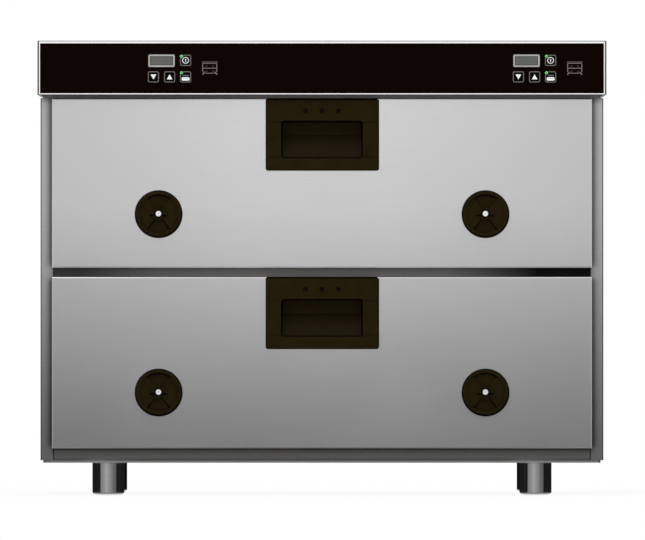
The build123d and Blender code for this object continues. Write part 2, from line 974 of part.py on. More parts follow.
# ---------------------------------------------------------------- control hood
def key_places():
    """Name and centre of every key in both control groups."""
    places = {}
    for side, x in display_xs.items():
        places[f"key_down_{side}"] = (x - arrow_pitch / 2, z_panel + row_lower)
        places[f"key_up_{side}"] = (x + arrow_pitch / 2, z_panel + row_lower)
        places[f"key_power_{side}"] = (x + option_offset, z_panel + row_upper)
        places[f"key_drawer_{side}"] = (x + option_offset, z_panel + row_lower)
    return places


def display_places():
    """Centre of both displays."""
    return [(x, z_panel + row_upper) for x in display_xs.values()]


def board_places():
    """Centre of both boards, behind their displays and keys."""
    return [(x + option_offset / 2, z_panel) for x in display_xs.values()]


def lamp_places():
    """A status lamp shows through the upper left corner of each power and drawer key."""
    return [
        (x - lamp_offset, z + lamp_offset)
        for name, (x, z) in key_places().items()
        if "power" in name or "drawer" in name
    ]


def crown_floor():
    """Floor of the control hood with the neck below it and flanges up the sides and rear."""
    inner_width = crown_width - 2 * crown_gauge
    inner_depth = crown_depth - 2 * crown_gauge
    y_mid = (y_crown + y_crown_back) / 2
    corner = crown_side_round - crown_gauge
    y_neck = (y_frame + y_back) / 2
    neck_depth = y_back - y_frame - 2 * neck_inset
    with BuildPart() as floor:
        with BuildSketch(Plane.XY.offset(z_crown)):
            with Locations((0, y_mid)):
                RectangleRounded(inner_width, inner_depth, corner)
        extrude(amount=gauge)
        with BuildSketch(Plane.XY.offset(z_crown)):
            with Locations((0, y_mid + hem)):
                RectangleRounded(inner_width, inner_depth - 2 * hem, corner)
                Rectangle(inner_width - 2 * gauge, inner_depth, mode=Mode.SUBTRACT)
        extrude(amount=crown_flange)
        with BuildSketch(Plane.XY.offset(z_roof)):
            with Locations((0, y_neck)):
                Rectangle(neck_width, neck_depth)
                Rectangle(
                    neck_width - 2 * neck_wall,
                    neck_depth - 2 * neck_wall,
                    mode=Mode.SUBTRACT,
                )
        extrude(amount=neck_height)
    return floor


def crown_cover():
    """Stainless hood: rounded box open below, a bright border round the control panel."""
    z_mid = (z_crown + z_top) / 2
    y_mid = (y_crown + y_crown_back) / 2
    with BuildPart() as cover:
        with BuildSketch(Plane.XY.offset(z_crown)):
            with Locations((0, y_mid)):
                Rectangle(crown_width, crown_depth)
        extrude(amount=crown_height)
        fillet(cover.edges().filter_by(Axis.Z), radius=crown_side_round)
        fillet(cover.faces().sort_by(Axis.Z)[-1].edges(), radius=crown_edge_round)
        offset(amount=-crown_gauge, openings=cover.faces().sort_by(Axis.Z)[0])
        with BuildSketch(facing(y_crown)):
            with Locations((0, z_panel)):
                RectangleRounded(panel_width, panel_height, panel_corner)
        extrude(amount=-crown_gauge, mode=Mode.SUBTRACT)
        with BuildSketch(facing(y_crown_back)):
            with Locations((0, z_mid)):
                with GridLocations(slot_group_pitch, slot_pitch, 2, slot_rows):
                    SlotOverall(slot_length, slot_width)
            with Locations((gland_x, z_mid)):
                Circle(gland_thread_radius + gland_play)
        extrude(amount=2 * crown_gauge, mode=Mode.SUBTRACT)
    return cover


def control_panel():
    """Glossy black panel with windows for displays and keys, and posts for the boards."""
    flanged = (panel_width + 2 * panel_flange, panel_height + 2 * panel_flange_height)
    post_grid = (board_width - 2 * post_side_inset, board_height - 2 * post_edge_inset)
    with BuildPart() as panel:
        with BuildSketch(facing(y_crown + panel_sink)):
            with Locations((0, z_panel)):
                RectangleRounded(panel_width, panel_height, panel_corner)
        extrude(amount=-(y_panel_back - y_crown - panel_sink))
        with BuildSketch(facing(y_crown + crown_gauge)):
            with Locations((0, z_panel)):
                Rectangle(*flanged)
        extrude(amount=-panel_flange_gauge)
        with BuildSketch(facing(y_crown)):
            with Locations(*display_places()):
                Rectangle(display_width + 2 * display_play, display_height + 2 * display_play)
            with Locations(*key_places().values()):
                RectangleRounded(key_size, key_size, key_corner + key_play)
        extrude(amount=-(y_panel_back - y_crown), mode=Mode.SUBTRACT)
        with BuildSketch(facing(y_panel_back)):
            with Locations(*board_places()):
                with GridLocations(*post_grid, 2, 2):
                    Circle(post_radius)
        extrude(amount=-(y_board - y_panel_back))
    return panel


def displays():
    """Two display modules whose faces lie flush with the panel."""
    with BuildPart() as modules:
        with BuildSketch(facing(y_crown + panel_sink)):
            with Locations(*display_places()):
                Rectangle(display_width, display_height)
        extrude(amount=-(y_board - y_crown - panel_sink))
    return modules


def status_lamps():
    """Light pipes from the boards to the panel's face."""
    with BuildPart() as pipes:
        with BuildSketch(facing(y_crown + panel_sink - key_proud)):
            with Locations(*lamp_places()):
                Circle(lamp_radius)
        extrude(amount=-(y_board - y_crown - panel_sink + key_proud))
    return pipes


def push_key(name):
    """Key cap with a retaining flange and a stem to its switch."""
    x, z = key_places()[name]
    y_cap = y_crown + panel_sink - key_proud
    cap = key_size - 2 * key_play
    with BuildPart() as key:
        with BuildSketch(facing(y_cap)):
            with Locations((x, z)):
                RectangleRounded(cap, cap, key_corner)
        extrude(amount=-(y_panel_back - y_cap))
        with BuildSketch(facing(y_panel_back)):
            with Locations((x, z)):
                RectangleRounded(key_size + key_flange, key_size + key_flange, key_corner)
        extrude(amount=-key_flange_gauge)
        with BuildSketch(facing(y_panel_back + key_flange_gauge)):
            with Locations((x, z)):
                Circle(key_stem_radius)
        extrude(amount=-key_stem_length)
        if "power" in name or "drawer" in name:
            with BuildSketch(facing(y_cap)):
                with Locations((x - lamp_offset, z + lamp_offset)):
                    Circle(lamp_radius + key_play)
            extrude(amount=-board_setback, mode=Mode.SUBTRACT)
    return key


def control_boards():
    """Circuit boards with the key switches, relays and edge connectors."""
    y_stem = y_panel_back + key_flange_gauge + key_stem_length
    switch_height = y_board - y_stem - key_travel - switch_play
    with BuildPart() as boards:
        with BuildSketch(facing(y_board)):
            with Locations(*board_places()):
                Rectangle(board_width, board_height)
        extrude(amount=-board_gauge)
        with BuildSketch(facing(y_board + board_gauge)):
            for x, z in board_places():
                for (x_part, z_part), size in board_parts.values():
                    with Locations((x + x_part, z + z_part)):
                        Rectangle(*size)
        extrude(amount=-board_part_height)
        with BuildSketch(facing(y_board)):
            with Locations(*key_places().values()):
                Rectangle(switch_size, switch_size)
        extrude(amount=switch_height)
    return boards


def on_hood_floor(place):
    """Point of the power parts' layout, whose front edge is at y_power."""
    x, y = place
    return (x, y_power + y)


def power_parts():
    """Transformer, relays and terminal strip on the hood's floor."""
    z_floor = z_crown + gauge
    z_over = z_floor + power_height
    with BuildPart() as parts:
        with BuildSketch(Plane.XY.offset(z_floor)):
            with Locations(on_hood_floor(transformer_place)):
                RectangleRounded(*transformer_core, power_round)
            with Locations(*[on_hood_floor(place) for place in relay_places]):
                RectangleRounded(*relay_size, power_round)
            with Locations(on_hood_floor(strip_place)):
                Rectangle(*strip_size)
        extrude(amount=power_height)
        with BuildSketch(Plane.XY.offset(z_over)):
            with Locations(on_hood_floor(transformer_place)):
                RectangleRounded(*transformer_coil, transformer_coil_round)
        extrude(amount=transformer_coil_height)
        with BuildSketch(Plane.XY.offset(z_over)):
            with Locations(on_hood_floor(strip_place)):
                with GridLocations(strip_pitch, 1, strip_ways, 1):
                    Circle(strip_hole_radius)
        extrude(amount=-strip_hole_depth, mode=Mode.SUBTRACT)
    return parts


def cable_gland():
    """Gland through the hood's rear wall, with a hexagon, a dome and a lock nut inside."""
    z = (z_crown + z_top) / 2
    here = Plane(origin=(gland_x, y_crown_back, z), x_dir=(-1, 0, 0), z_dir=(0, 1, 0))
    with BuildPart() as gland:
        with BuildSketch(here.offset(-gland_inside)):
            Circle(gland_thread_radius)
        extrude(amount=gland_inside)
        with BuildSketch(here.offset(-crown_gauge)):
            RegularPolygon(gland_thread_radius + gland_nut, 6)
        extrude(amount=-gland_nut_height)
        with BuildSketch(here):
            RegularPolygon(gland_thread_radius + gland_nut, 6)
        extrude(amount=gland_hexagon_height)
        with BuildSketch(here.offset(gland_hexagon_height)):
            Circle(gland_thread_radius + gland_dome)
        extrude(amount=gland_reach - gland_hexagon_height)
        fillet(gland.faces().sort_by(Axis.Y)[-1].edges(), radius=gland_dome_round)
        with BuildSketch(here.offset(-gland_inside)):
            Circle(gland_bore)
        extrude(amount=gland_inside + gland_reach, mode=Mode.SUBTRACT)
    return gland


# ---------------------------------------------------------------- feet
def foot_places():
    """Centres of the four feet."""
    x = base_width / 2 - foot_side_inset
    y_fore = y_frame + foot_inset
    y_aft = y_back - foot_inset
    return {
        "front_left": (-x, y_fore),
        "front_right": (x, y_fore),
        "rear_left": (-x, y_aft),
        "rear_right": (x, y_aft),
    }


def foot_sleeves():
    """Closed-topped sleeves welded under the base tray."""
    top = z_body - base_gauge
    bore = foot_radius - foot_wall
    with BuildPart() as sleeves:
        with BuildSketch(Plane.XY.offset(foot_toe)):
            with Locations(*foot_places().values()):
                Circle(foot_radius)
        extrude(amount=top - foot_toe)
        with BuildSketch(Plane.XY.offset(foot_toe)):
            with Locations(*foot_places().values()):
                Circle(bore)
        extrude(amount=top - foot_toe - stem_top_gap, mode=Mode.SUBTRACT)
    return sleeves


def levelling_foot(place):
    """Foot that screws out of its sleeve: chamfered toe and a plain stem."""
    x, y = foot_places()[place]
    stem = foot_radius - foot_wall - foot_play
    stem_top = z_body - base_gauge - stem_top_gap - stem_play
    profile = [
        (0, 0),
        (foot_radius - foot_chamfer, 0),
        (foot_radius, foot_toe),
        (stem, foot_toe),
        (stem, stem_top),
        (0, stem_top),
    ]
    here = Plane(origin=(x, y, 0), x_dir=(1, 0, 0), z_dir=(0, -1, 0))
    with BuildPart() as foot:
        with BuildSketch(here):
            with BuildLine():
                Polyline(*profile, close=True)
            make_face()
        revolve(axis=Axis((x, y, 0), (0, 0, 1)))
    return foot


# ---------------------------------------------------------------- build
right_side = casing_side()
save(right_side, "casing_side_right")
save(mirrored(right_side), "casing_side_left")
save(rear_panel(), "rear_panel")
save(roof_panel(), "roof_panel")
save(base_tray(), "base_tray")
save(front_sill(), "front_sill")
save(divider_rail(), "divider_rail")
save(insulation(), "insulation")
save(chamber_probes(), "chamber_probes")
save(slide_channels(), "slide_channels")
save(foot_sleeves(), "foot_sleeves")
save(crown_floor(), "crown_floor")
save(crown_cover(), "crown_cover")
save(control_panel(), "control_panel")
save(displays(), "displays")
save(status_lamps(), "status_lamps")
save(control_boards(), "control_boards")
save(power_parts(), "power_parts")
save(cable_gland(), "cable_gland")

for place in foot_places():
    save(levelling_foot(place), f"levelling_foot_{place}")

for key_name in key_places():
    save(push_key(key_name), key_name)

for level in ("upper", "lower"):
    save(chamber(level), f"chamber_{level}")
    save(heater(level), f"heater_{level}")
    save(slide_middles(level), f"slide_middles_{level}")
    save(slide_runners(level), f"slide_runners_{level}")
    save(pan_frame(level), f"pan_frame_{level}")
    save(front_skin(level), f"front_skin_{level}")
    save(front_liner(level), f"front_liner_{level}")
    save(front_insulation(level), f"front_insulation_{level}")
    save(gasket(level), f"gasket_{level}")
    save(handle(level), f"handle_{level}")
    save(front_screws(level), f"front_screws_{level}")
    save(vent_frames(level), f"vent_frames_{level}")
    for index, side in enumerate(("left", "right")):
        save(vent_shutter(level, index), f"vent_shutter_{level}_{side}")
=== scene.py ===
"""Looks of a heated holding cabinet with two insulated drawers.

Everything is in metres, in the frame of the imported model: +X to the right, the drawers open
towards -Y, +Z up, the floor at z = 0.
"""

from math import pi, radians

import bmesh
import bpy
from mathutils import Matrix, Vector


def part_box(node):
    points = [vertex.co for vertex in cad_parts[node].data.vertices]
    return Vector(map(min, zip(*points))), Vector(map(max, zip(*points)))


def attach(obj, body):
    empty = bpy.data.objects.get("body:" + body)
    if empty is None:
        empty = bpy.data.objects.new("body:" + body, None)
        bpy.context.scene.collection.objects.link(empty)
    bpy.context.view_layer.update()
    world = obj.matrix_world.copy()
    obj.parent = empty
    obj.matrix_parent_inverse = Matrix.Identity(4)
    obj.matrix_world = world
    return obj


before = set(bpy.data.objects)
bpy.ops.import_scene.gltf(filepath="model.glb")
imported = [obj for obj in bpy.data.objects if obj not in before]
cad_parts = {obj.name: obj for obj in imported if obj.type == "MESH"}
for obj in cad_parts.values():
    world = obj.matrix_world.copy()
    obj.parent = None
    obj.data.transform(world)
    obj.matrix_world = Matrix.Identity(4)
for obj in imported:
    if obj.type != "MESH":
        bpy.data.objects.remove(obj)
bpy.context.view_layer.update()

mm = 0.001

# ---------------------------------------------------------------- places read from the frame
levels = ("upper", "lower")
sides = ("left", "right")
key_names = [f"key_{what}_{side}" for side in sides for what in ("down", "up", "power", "drawer")]
keys_with_lamps = ("power", "drawer")
crown_low, crown_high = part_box("crown_cover")
panel_low, panel_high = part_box("control_panel")
display_low, display_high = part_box("displays")
rear_low, rear_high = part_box("rear_panel")
panel_face = display_low.y
display_mask = 1.2 * mm


def centre(node):
    """Middle of a node's box at rest."""
    low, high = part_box(node)
    return (low + high) / 2


def front_of(node):
    """Front-most y of a node at rest."""
    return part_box(node)[0].y


# ---------------------------------------------------------------- colours
def linear(level):
    """Linear value of one sRGB level from 0 to 255."""
    share = level / 255
    return share / 12.92 if share <= 0.04045 else ((share + 0.055) / 1.055) ** 2.4


def colour(red, green, blue):
    """Linear colour of three sRGB levels from 0 to 255."""
    return (linear(red), linear(green), linear(blue), 1.0)


def grey(level):
    """Linear grey of one sRGB level from 0 to 255."""
    return colour(level, level, level)


def tones(base, spread):
    """Two tones of one grey or colour, a little darker and a little lighter than it."""
    return [
        tuple(min(1.0, channel * share) for channel in base[:3]) + (1.0,)
        for share in (1 - spread, 1 + spread)
    ]


# Painted shade for corners and gaps, where ambient occlusion finds them.
corner_shade = colour(46, 45, 42)
# Painted shade on the hood's rim and round folds.
hood_rim_shade = grey(14)
# Painted shade on the casing's round folds.
casing_fold_shade = colour(70, 70, 68)
panel_line_black = colour(4, 3, 2)


# ---------------------------------------------------------------- nodes of a material
class Nodes:
    """A node tree, and the steps that its patterns are put together from."""

    def __init__(self, tree):
        self.tree = tree

    def node(self, kind, **settings):
        made = self.tree.nodes.new(kind)
        for key, value in settings.items():
            setattr(made, key, value)
        return made

    def link(self, source, target):
        self.tree.links.new(source, target)

    def feed(self, value, target):
        """A socket, a number or a colour put into a socket."""
        if isinstance(value, bpy.types.NodeSocket):
            self.link(value, target)
        else:
            target.default_value = value

    def place(self, source):
        """The object's "Normal" or its "Object" coordinates."""
        found = self.tree.nodes.get("places") or self.node("ShaderNodeTexCoord", name="places")
        return found.outputs[source]

    def part_of(self, source, axis):
        """One axis of the object's "Normal" or of its "Object" coordinates."""
        split = self.node("ShaderNodeSeparateXYZ")
        self.link(self.place(source), split.inputs["Vector"])
        return split.outputs[axis]

    def sum_up(self, operation, first, second=0.0):
        """One step of arithmetic on sockets or numbers."""
        step = self.node("ShaderNodeMath", operation=operation)
        self.feed(first, step.inputs[0])
        self.feed(second, step.inputs[1])
        return step.outputs[0]

    def between(self, source, low, high, start=0.3, end=0.7):
        """A value that goes from low to high as source goes from start to end."""
        spread = self.node("ShaderNodeMapRange")
        limits = {"From Min": start, "From Max": end, "To Min": low, "To Max": high}
        for name, value in limits.items():
            spread.inputs[name].default_value = value
        self.link(source, spread.inputs["Value"])
        return spread.outputs["Result"]

    def over(self, value, limit):
        """1 where a value is above a limit, else 0."""
        return self.sum_up("GREATER_THAN", value, limit)

    def under(self, value, limit):
        """1 where a value is below a limit, else 0."""
        return self.sum_up("LESS_THAN", value, limit)

    def away(self, value, middle):
        """How far a value is from its middle, on either side."""
        return self.sum_up("ABSOLUTE", self.sum_up("SUBTRACT", value, middle))

    def all_of(self, mask, *others):
        """1 where every mask is 1, else 0."""
        for other in others:
            mask = self.sum_up("MULTIPLY", mask, other)
        return mask

    def square_of_reach(self, across, rise):
        """Square of the distance to a middle, from its two shares."""
        return self.sum_up(
            "ADD", self.sum_up("POWER", across, 2.0), self.sum_up("MULTIPLY", rise, rise),
        )


class Finish(Nodes):
    """One procedural finish: its patterns are read from Object coordinates."""

    facing_cosine = -0.97

    def __init__(self, name, metallic=0.0, specular=0.5):
        self.material = bpy.data.materials.new(name)
        self.material.use_nodes = True
        super().__init__(self.material.node_tree)
        self.shader = self.tree.nodes["Principled BSDF"]
        self.shader.inputs["Metallic"].default_value = metallic
        self.shader.inputs["Specular IOR Level"].default_value = specular

    def texture(self, kind, size):
        """A texture whose features have one size, or a size along each axis."""
        texture = self.node(kind)
        texture.inputs["Scale"].default_value = 1.0
        mapping = self.node("ShaderNodeMapping")
        lengths = size if isinstance(size, tuple) else (size, size, size)
        mapping.inputs["Scale"].default_value = [1 / length for length in lengths]
        self.link(self.place("Object"), mapping.inputs["Vector"])
        self.link(mapping.outputs["Vector"], texture.inputs["Vector"])
        return texture

    def noise(self, size, detail=2.0):
        """Noise from 0 to 1 with features of that size."""
        texture = self.texture("ShaderNodeTexNoise", size)
        texture.inputs["Detail"].default_value = detail
        return texture.outputs["Fac"]

    def cells(self, size, output):
        """Colour of, or distance in, cells of that size."""
        return self.texture("ShaderNodeTexVoronoi", size).outputs[output]

    def blend(self, factor, first, second, kind="MIX"):
        """First colour or value where factor is 0, second where it is 1."""
        mix = self.node("ShaderNodeMix", data_type="RGBA", blend_type=kind)
        factor_in, first_in, second_in = mix.inputs[0], mix.inputs[6], mix.inputs[7]
        self.link(factor, factor_in)
        self.feed(first, first_in)
        self.feed(second, second_in)
        return mix.outputs[2]

    def mottled(self, pattern, dark, light):
        """A tone that wanders from dark to light with a pattern."""
        return self.blend(self.between(pattern, 0.0, 1.0), dark, light)

    def sideways(self):
        """1 on faces that look along X, 0 on the others."""
        return self.over(self.sum_up("ABSOLUTE", self.part_of("Normal", "X")), 0.7)

    def facing_front(self):
        """1 on faces that look straight to the front, 0 on the others."""
        return self.under(self.part_of("Normal", "Y"), self.facing_cosine)

    def on_fold(self, steep=-0.985):
        """1 on the round folds between a front and its sides, 0 on flat faces."""
        towards = self.part_of("Normal", "Y")
        off_front = self.between(towards, 0.0, 1.0, steep, steep + 0.055)
        off_side = self.between(towards, 1.0, 0.0, -0.12, -0.02)
        return self.all_of(off_front, off_side)

    def outside(self, low, high, margin):
        """1 where a surface lies more than a margin outside a box, seen from the front."""
        middle, half = (low + high) / 2, (high - low) / 2
        off_x = self.away(self.part_of("Object", "X"), middle.x)
        off_z = self.away(self.part_of("Object", "Z"), middle.z)
        beyond_x = self.sum_up("SUBTRACT", off_x, half.x)
        beyond_z = self.sum_up("SUBTRACT", off_z, half.z)
        return self.over(self.sum_up("MAXIMUM", beyond_x, beyond_z), margin)

    def open_air(self, reach):
        """1 on open surfaces, falling to 0 in gaps and corners narrower than reach."""
        shading = self.node("ShaderNodeAmbientOcclusion", samples=8)
        shading.inputs["Distance"].default_value = reach
        return shading.outputs["AO"]

    def set_surface(self, tone, pattern, smooth, rough, *span):
        """Base colour, and a roughness that wanders with a pattern."""
        self.link(tone, self.shader.inputs["Base Color"])
        self.link(self.between(pattern, smooth, rough, *span), self.shader.inputs["Roughness"])

    def set_bump(self, source, height):
        bump = self.node("ShaderNodeBump")
        bump.inputs["Distance"].default_value = height
        self.link(source, bump.inputs["Height"])
        self.link(bump.outputs["Normal"], self.shader.inputs["Normal"])


# ---------------------------------------------------------------- finishes of metal
def hood_front(finish):
    """Front of the hood as a painted highlight, painted shade at its rim, black round the panel.
    """
    rim_width, bead_width, bead_drop = 0.7 * mm, 0.6 * mm, 0.5 * mm
    opening_low = panel_low - Vector((0, 0, bead_drop))
    rim = finish.outside(crown_low, crown_high, -rim_width)
    around_panel = finish.outside(opening_low, panel_high, -bead_width)
    # Painted highlight on the hood's front face, painted shade at its rim.
    front = finish.blend(rim, colour(250, 250, 251), hood_rim_shade)
    return finish.blend(finish.sum_up("SUBTRACT", 1.0, around_panel), front, panel_line_black)


def brushed_steel(name, base, roughness=0.34, grain=0.05, front=None, fold=None, recess=0.0,
                  painted_ends=None, foot=1.0):
    """Stainless sheet with a straight grain, horizontal on every wall, and faint handling marks.

    Front faces and round folds may have their own tones: painted highlights and painted shade.
    Painted shade may darken what lies within recess of a corner, and a long piece may have its
    own tone at each end, a painted reflection. The colour may fall to a share of itself, foot,
    towards the floor, a painted shade that stands in for the floor's reflection.
    """
    finish = Finish(name, metallic=1.0)
    across, along, handled = 0.22 * mm, 60 * mm, 0.16
    on_walls = finish.noise((along, across, across), 3.0)
    on_sides = finish.noise((across, along, across), 3.0)
    streaks = finish.blend(finish.sideways(), on_walls, on_sides)
    clouds = finish.noise(handled, 3.0)
    dark, light = tones(base, grain)
    tone = finish.mottled(streaks, dark, light)
    tone = finish.blend(finish.between(clouds, 0.0, 0.35), tone, light)
    # A front face may carry a painted highlight, and its round folds a painted shade.
    if front:
        tone = finish.blend(finish.facing_front(), tone, front(finish))
        tone = finish.blend(finish.on_fold(-0.95), tone, fold)
    # A round fold may get its own, less metallic tone: painted highlight on the upper front's
    # folds, painted shade on the others.
    elif fold:
        folded = finish.on_fold()
        tone = finish.blend(folded, tone, fold)
        finish.link(finish.between(folded, 1.0, 0.4, 0.0, 1.0), finish.shader.inputs["Metallic"])
    # Painted shade: darker within recess of a corner or gap.
    if recess:
        open_share = finish.between(finish.open_air(recess), 0.0, 1.0, 0.48, 0.92)
        tone = finish.blend(open_share, corner_shade, tone)
    # Painted reflection: its own tone at each end of a long piece.
    if painted_ends:
        along_x = finish.part_of("Object", "X")
        (left_tone, left_span), (right_tone, right_span) = painted_ends
        tone = finish.blend(finish.between(along_x, 1.0, 0.0, *left_span), tone, left_tone)
        tone = finish.blend(finish.between(along_x, 0.0, 1.0, *right_span), tone, right_tone)
    # Painted shade: darker towards the floor, standing in for the floor's reflection.
    if foot < 1.0:
        lowness = finish.between(finish.part_of("Object", "Z"), 1.0, 0.0, 0.05, 0.42)
        tone = finish.blend(lowness, tone, (foot, foot, foot, 1.0), "MULTIPLY")
    finish.set_surface(tone, clouds, roughness - 0.03, roughness + 0.03)
    finish.set_bump(streaks, 0.012 * mm)
    return finish.material


def turned_steel(name, base):
    """Turned and polished steel with faint rings from the lathe."""
    finish = Finish(name, metallic=1.0)
    rings = finish.noise((0.5, 0.5, 0.25 * mm))
    finish.set_surface(finish.mottled(rings, *tones(base, 0.06)), rings, 0.08, 0.14)
    return finish.material


def mill_steel(name, base, roughness):
    """Rolled sheet without a grain: soft clouds and fine pits."""
    finish = Finish(name, metallic=1.0)
    clouds = finish.noise(0.05, 4.0)
    pits = finish.noise(0.6 * mm)
    tone = finish.mottled(clouds, *tones(base, 0.07))
    finish.set_surface(tone, clouds, roughness - 0.05, roughness + 0.06)
    finish.set_bump(pits, 0.01 * mm)
    return finish.material


def galvanised_sheet(name):
    """Zinc-coated sheet with its spangle, dulled by dust."""
    finish = Finish(name, metallic=1.0)
    flakes = finish.node("ShaderNodeSeparateColor")
    finish.link(finish.cells(9 * mm, "Color"), flakes.inputs[0])
    tone_of_flake, polish_of_flake = flakes.outputs[0], flakes.outputs[1]
    spangle = finish.blend(tone_of_flake, colour(150, 154, 158), colour(196, 199, 202))
    dust = finish.between(finish.noise(0.12, 4.0), 0.0, 0.5)
    tone = finish.blend(dust, spangle, colour(168, 170, 171))
    finish.set_surface(tone, polish_of_flake, 0.38, 0.55, 0.0, 1.0)
    return finish.material


def plated_steel(name, base, roughness=0.28):
    """Bright zinc plating on slides and fasteners."""
    finish = Finish(name, metallic=1.0)
    clouds = finish.noise(8 * mm, 3.0)
    tone = finish.mottled(clouds, *tones(base, 0.08))
    finish.set_surface(tone, clouds, roughness - 0.06, roughness + 0.08)
    return finish.material


def front_screw_finish(name, level):
    """Blackened pull screws above, bright pivot screws in the vents below them."""
    finish = Finish(name, metallic=0.55, specular=0.4)
    pull_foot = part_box(f"handle_{level}")[0].z
    clouds = finish.noise(2 * mm)
    bright = finish.mottled(clouds, *tones(grey(240), 0.05))
    # Painted shade on the round edge of the bright heads.
    bright = finish.blend(finish.on_fold(), bright, grey(120))
    below_pull = finish.under(finish.part_of("Object", "Z"), pull_foot)
    tone = finish.blend(below_pull, colour(14, 10, 4), bright)
    finish.set_surface(tone, clouds, 0.4, 0.5)
    return finish.material


def heated_sheath(name):
    """Heater sheath, heat-tinted brown."""
    finish = Finish(name, metallic=0.8)
    tint = finish.noise(40 * mm, 3.0)
    tone = finish.mottled(tint, colour(92, 80, 66), colour(132, 120, 100))
    finish.set_surface(tone, tint, 0.4, 0.6)
    return finish.material


# ---------------------------------------------------------------- finishes of mouldings
def moulded_plastic(name, base, roughness=0.5, specular=0.12, texture=0.02 * mm, turned_shade=0.0,
                    marks=None):
    """Moulded plastic with a fine spark-eroded texture.

    It may be darker where it turns from the front, a painted shade, and near-black where
    marks lay painted shadows on it.
    """
    finish = Finish(name, specular=specular)
    texture_grain = finish.noise(0.35 * mm)
    clouds = finish.noise(25 * mm)
    tone = finish.mottled(clouds, *tones(base, 0.12))
    # Painted shade on faces that turn from the front.
    if turned_shade:
        shaded_base = tuple(channel * (1 - turned_shade) for channel in base[:3]) + (1.0,)
        towards = finish.part_of("Normal", "Y")
        turned_away = finish.between(towards, 0.0, 1.0, finish.facing_cosine, -0.7)
        tone = finish.blend(turned_away, tone, shaded_base)
    # Painted shadows, drawn near-black where the marks lie.
    if marks:
        tone = finish.blend(marks(finish), tone, colour(7, 4, 1))
    finish.set_surface(tone, clouds, roughness - 0.04, roughness + 0.05)
    finish.set_bump(texture_grain, texture)
    return finish.material


def black_moulding(name, marks):
    """Black moulding of pulls and vents, with painted shade and its own painted shadows."""
    return moulded_plastic(name, colour(35, 28, 10), specular=0.02, turned_shade=0.9, marks=marks)


def pull_shadows(level):
    """Painted shadow along the top of a pull and round the mouth of its pocket."""
    low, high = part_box(f"handle_{level}")
    mouth_half, mouth_top, mouth_foot = 58.6 * mm, 32.1 * mm, 86.1 * mm
    mouth_low = Vector((-mouth_half, 0, high.z - mouth_foot))
    mouth_high = Vector((mouth_half, 0, high.z - mouth_top))
    brow_height, mouth_edge, sunk_depth = 2.4 * mm, 1.9 * mm, 1 * mm

    def marks(finish):
        brow = finish.over(finish.part_of("Object", "Z"), high.z - brow_height)
        sunk = finish.over(finish.part_of("Object", "Y"), low.y + sunk_depth)
        rim = finish.outside(mouth_low, mouth_high, -mouth_edge)
        return finish.sum_up("MAXIMUM", brow, finish.all_of(sunk, rim))

    return marks


def vent_shadows(level):
    """Painted shadow on the seats of two vents: an arc at the top and a line below each wing."""
    low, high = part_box(f"vent_frames_{level}")
    vent_x = abs(centre(f"vent_shutter_{level}_right").x)
    vent_z = (low.z + high.z) / 2
    arc_inner, arc_outer, arc_foot = 26.0 * mm, 28.2 * mm, 19.5 * mm
    line_slope, line_outer, line_inner = -0.68, -3.0 * mm, 0.6 * mm
    line_reach, line_top = 28.0 * mm, -6.0 * mm

    def marks(finish):
        off_cabinet = finish.sum_up("ABSOLUTE", finish.part_of("Object", "X"))
        across = finish.away(off_cabinet, vent_x)
        rise = finish.sum_up("SUBTRACT", finish.part_of("Object", "Z"), vent_z)
        reach = finish.sum_up("SQRT", finish.square_of_reach(across, rise))
        arc = finish.all_of(
            finish.over(reach, arc_inner),
            finish.under(reach, arc_outer),
            finish.over(rise, arc_foot),
        )
        edge = finish.sum_up("SUBTRACT", finish.sum_up("MULTIPLY", rise, line_slope), across)
        line = finish.all_of(
            finish.over(edge, line_outer),
            finish.under(edge, line_inner),
            finish.under(reach, line_reach),
            finish.under(rise, line_top),
        )
        return finish.sum_up("MAXIMUM", arc, line)

    return marks


def hub_shadows(level, side):
    """Painted shade round a shutter's pivot screw, painted shadow under the two ends of its grip.
    """
    middle = centre(f"vent_shutter_{level}_{side}")
    hub_radius, grip_half = 6.2 * mm, 12.4 * mm
    line_top, line_foot = -1.2 * mm, -3.6 * mm

    def marks(finish):
        across = finish.away(finish.part_of("Object", "X"), middle.x)
        rise = finish.sum_up("SUBTRACT", finish.part_of("Object", "Z"), middle.z)
        hub = finish.under(finish.square_of_reach(across, rise), hub_radius ** 2)
        grip_end = finish.all_of(
            finish.under(across, grip_half),
            finish.under(rise, line_top),
            finish.over(rise, line_foot),
        )
        return finish.sum_up("MAXIMUM", hub, grip_end)

    return marks


def silicone_seal(name):
    """Dull translucent-grey silicone extrusion."""
    finish = Finish(name, specular=0.3)
    bloom = finish.noise(12 * mm, 3.0)
    finish.set_surface(finish.mottled(bloom, grey(34), colour(48, 47, 46)), bloom, 0.55, 0.7)
    return finish.material


def mineral_fibre(name):
    """Pressed mineral wool: crossed fibres with deep bump."""
    finish = Finish(name, specular=0.1)
    strands = finish.noise((14 * mm, 1.2 * mm, 1.2 * mm), 5.0)
    crossing = finish.noise((1.2 * mm, 14 * mm, 1.5 * mm), 5.0)
    fibre = finish.blend(finish.noise(6 * mm), strands, crossing)
    tone = finish.mottled(fibre, colour(176, 150, 84), colour(222, 203, 144))
    finish.set_surface(tone, fibre, 0.85, 1.0)
    finish.set_bump(fibre, 0.8 * mm)
    return finish.material


# ---------------------------------------------------------------- finishes of the controls
def gloss_panel(name, base, roughness=0.12):
    """Glossy dark overlay with faint wipe marks."""
    finish = Finish(name, specular=0.015)
    wipes = finish.noise((0.2, 0.02, 0.02), 3.0)
    tone = finish.mottled(wipes, *tones(base, 0.1))
    finish.set_surface(tone, wipes, roughness - 0.03, roughness + 0.06)
    return finish.material


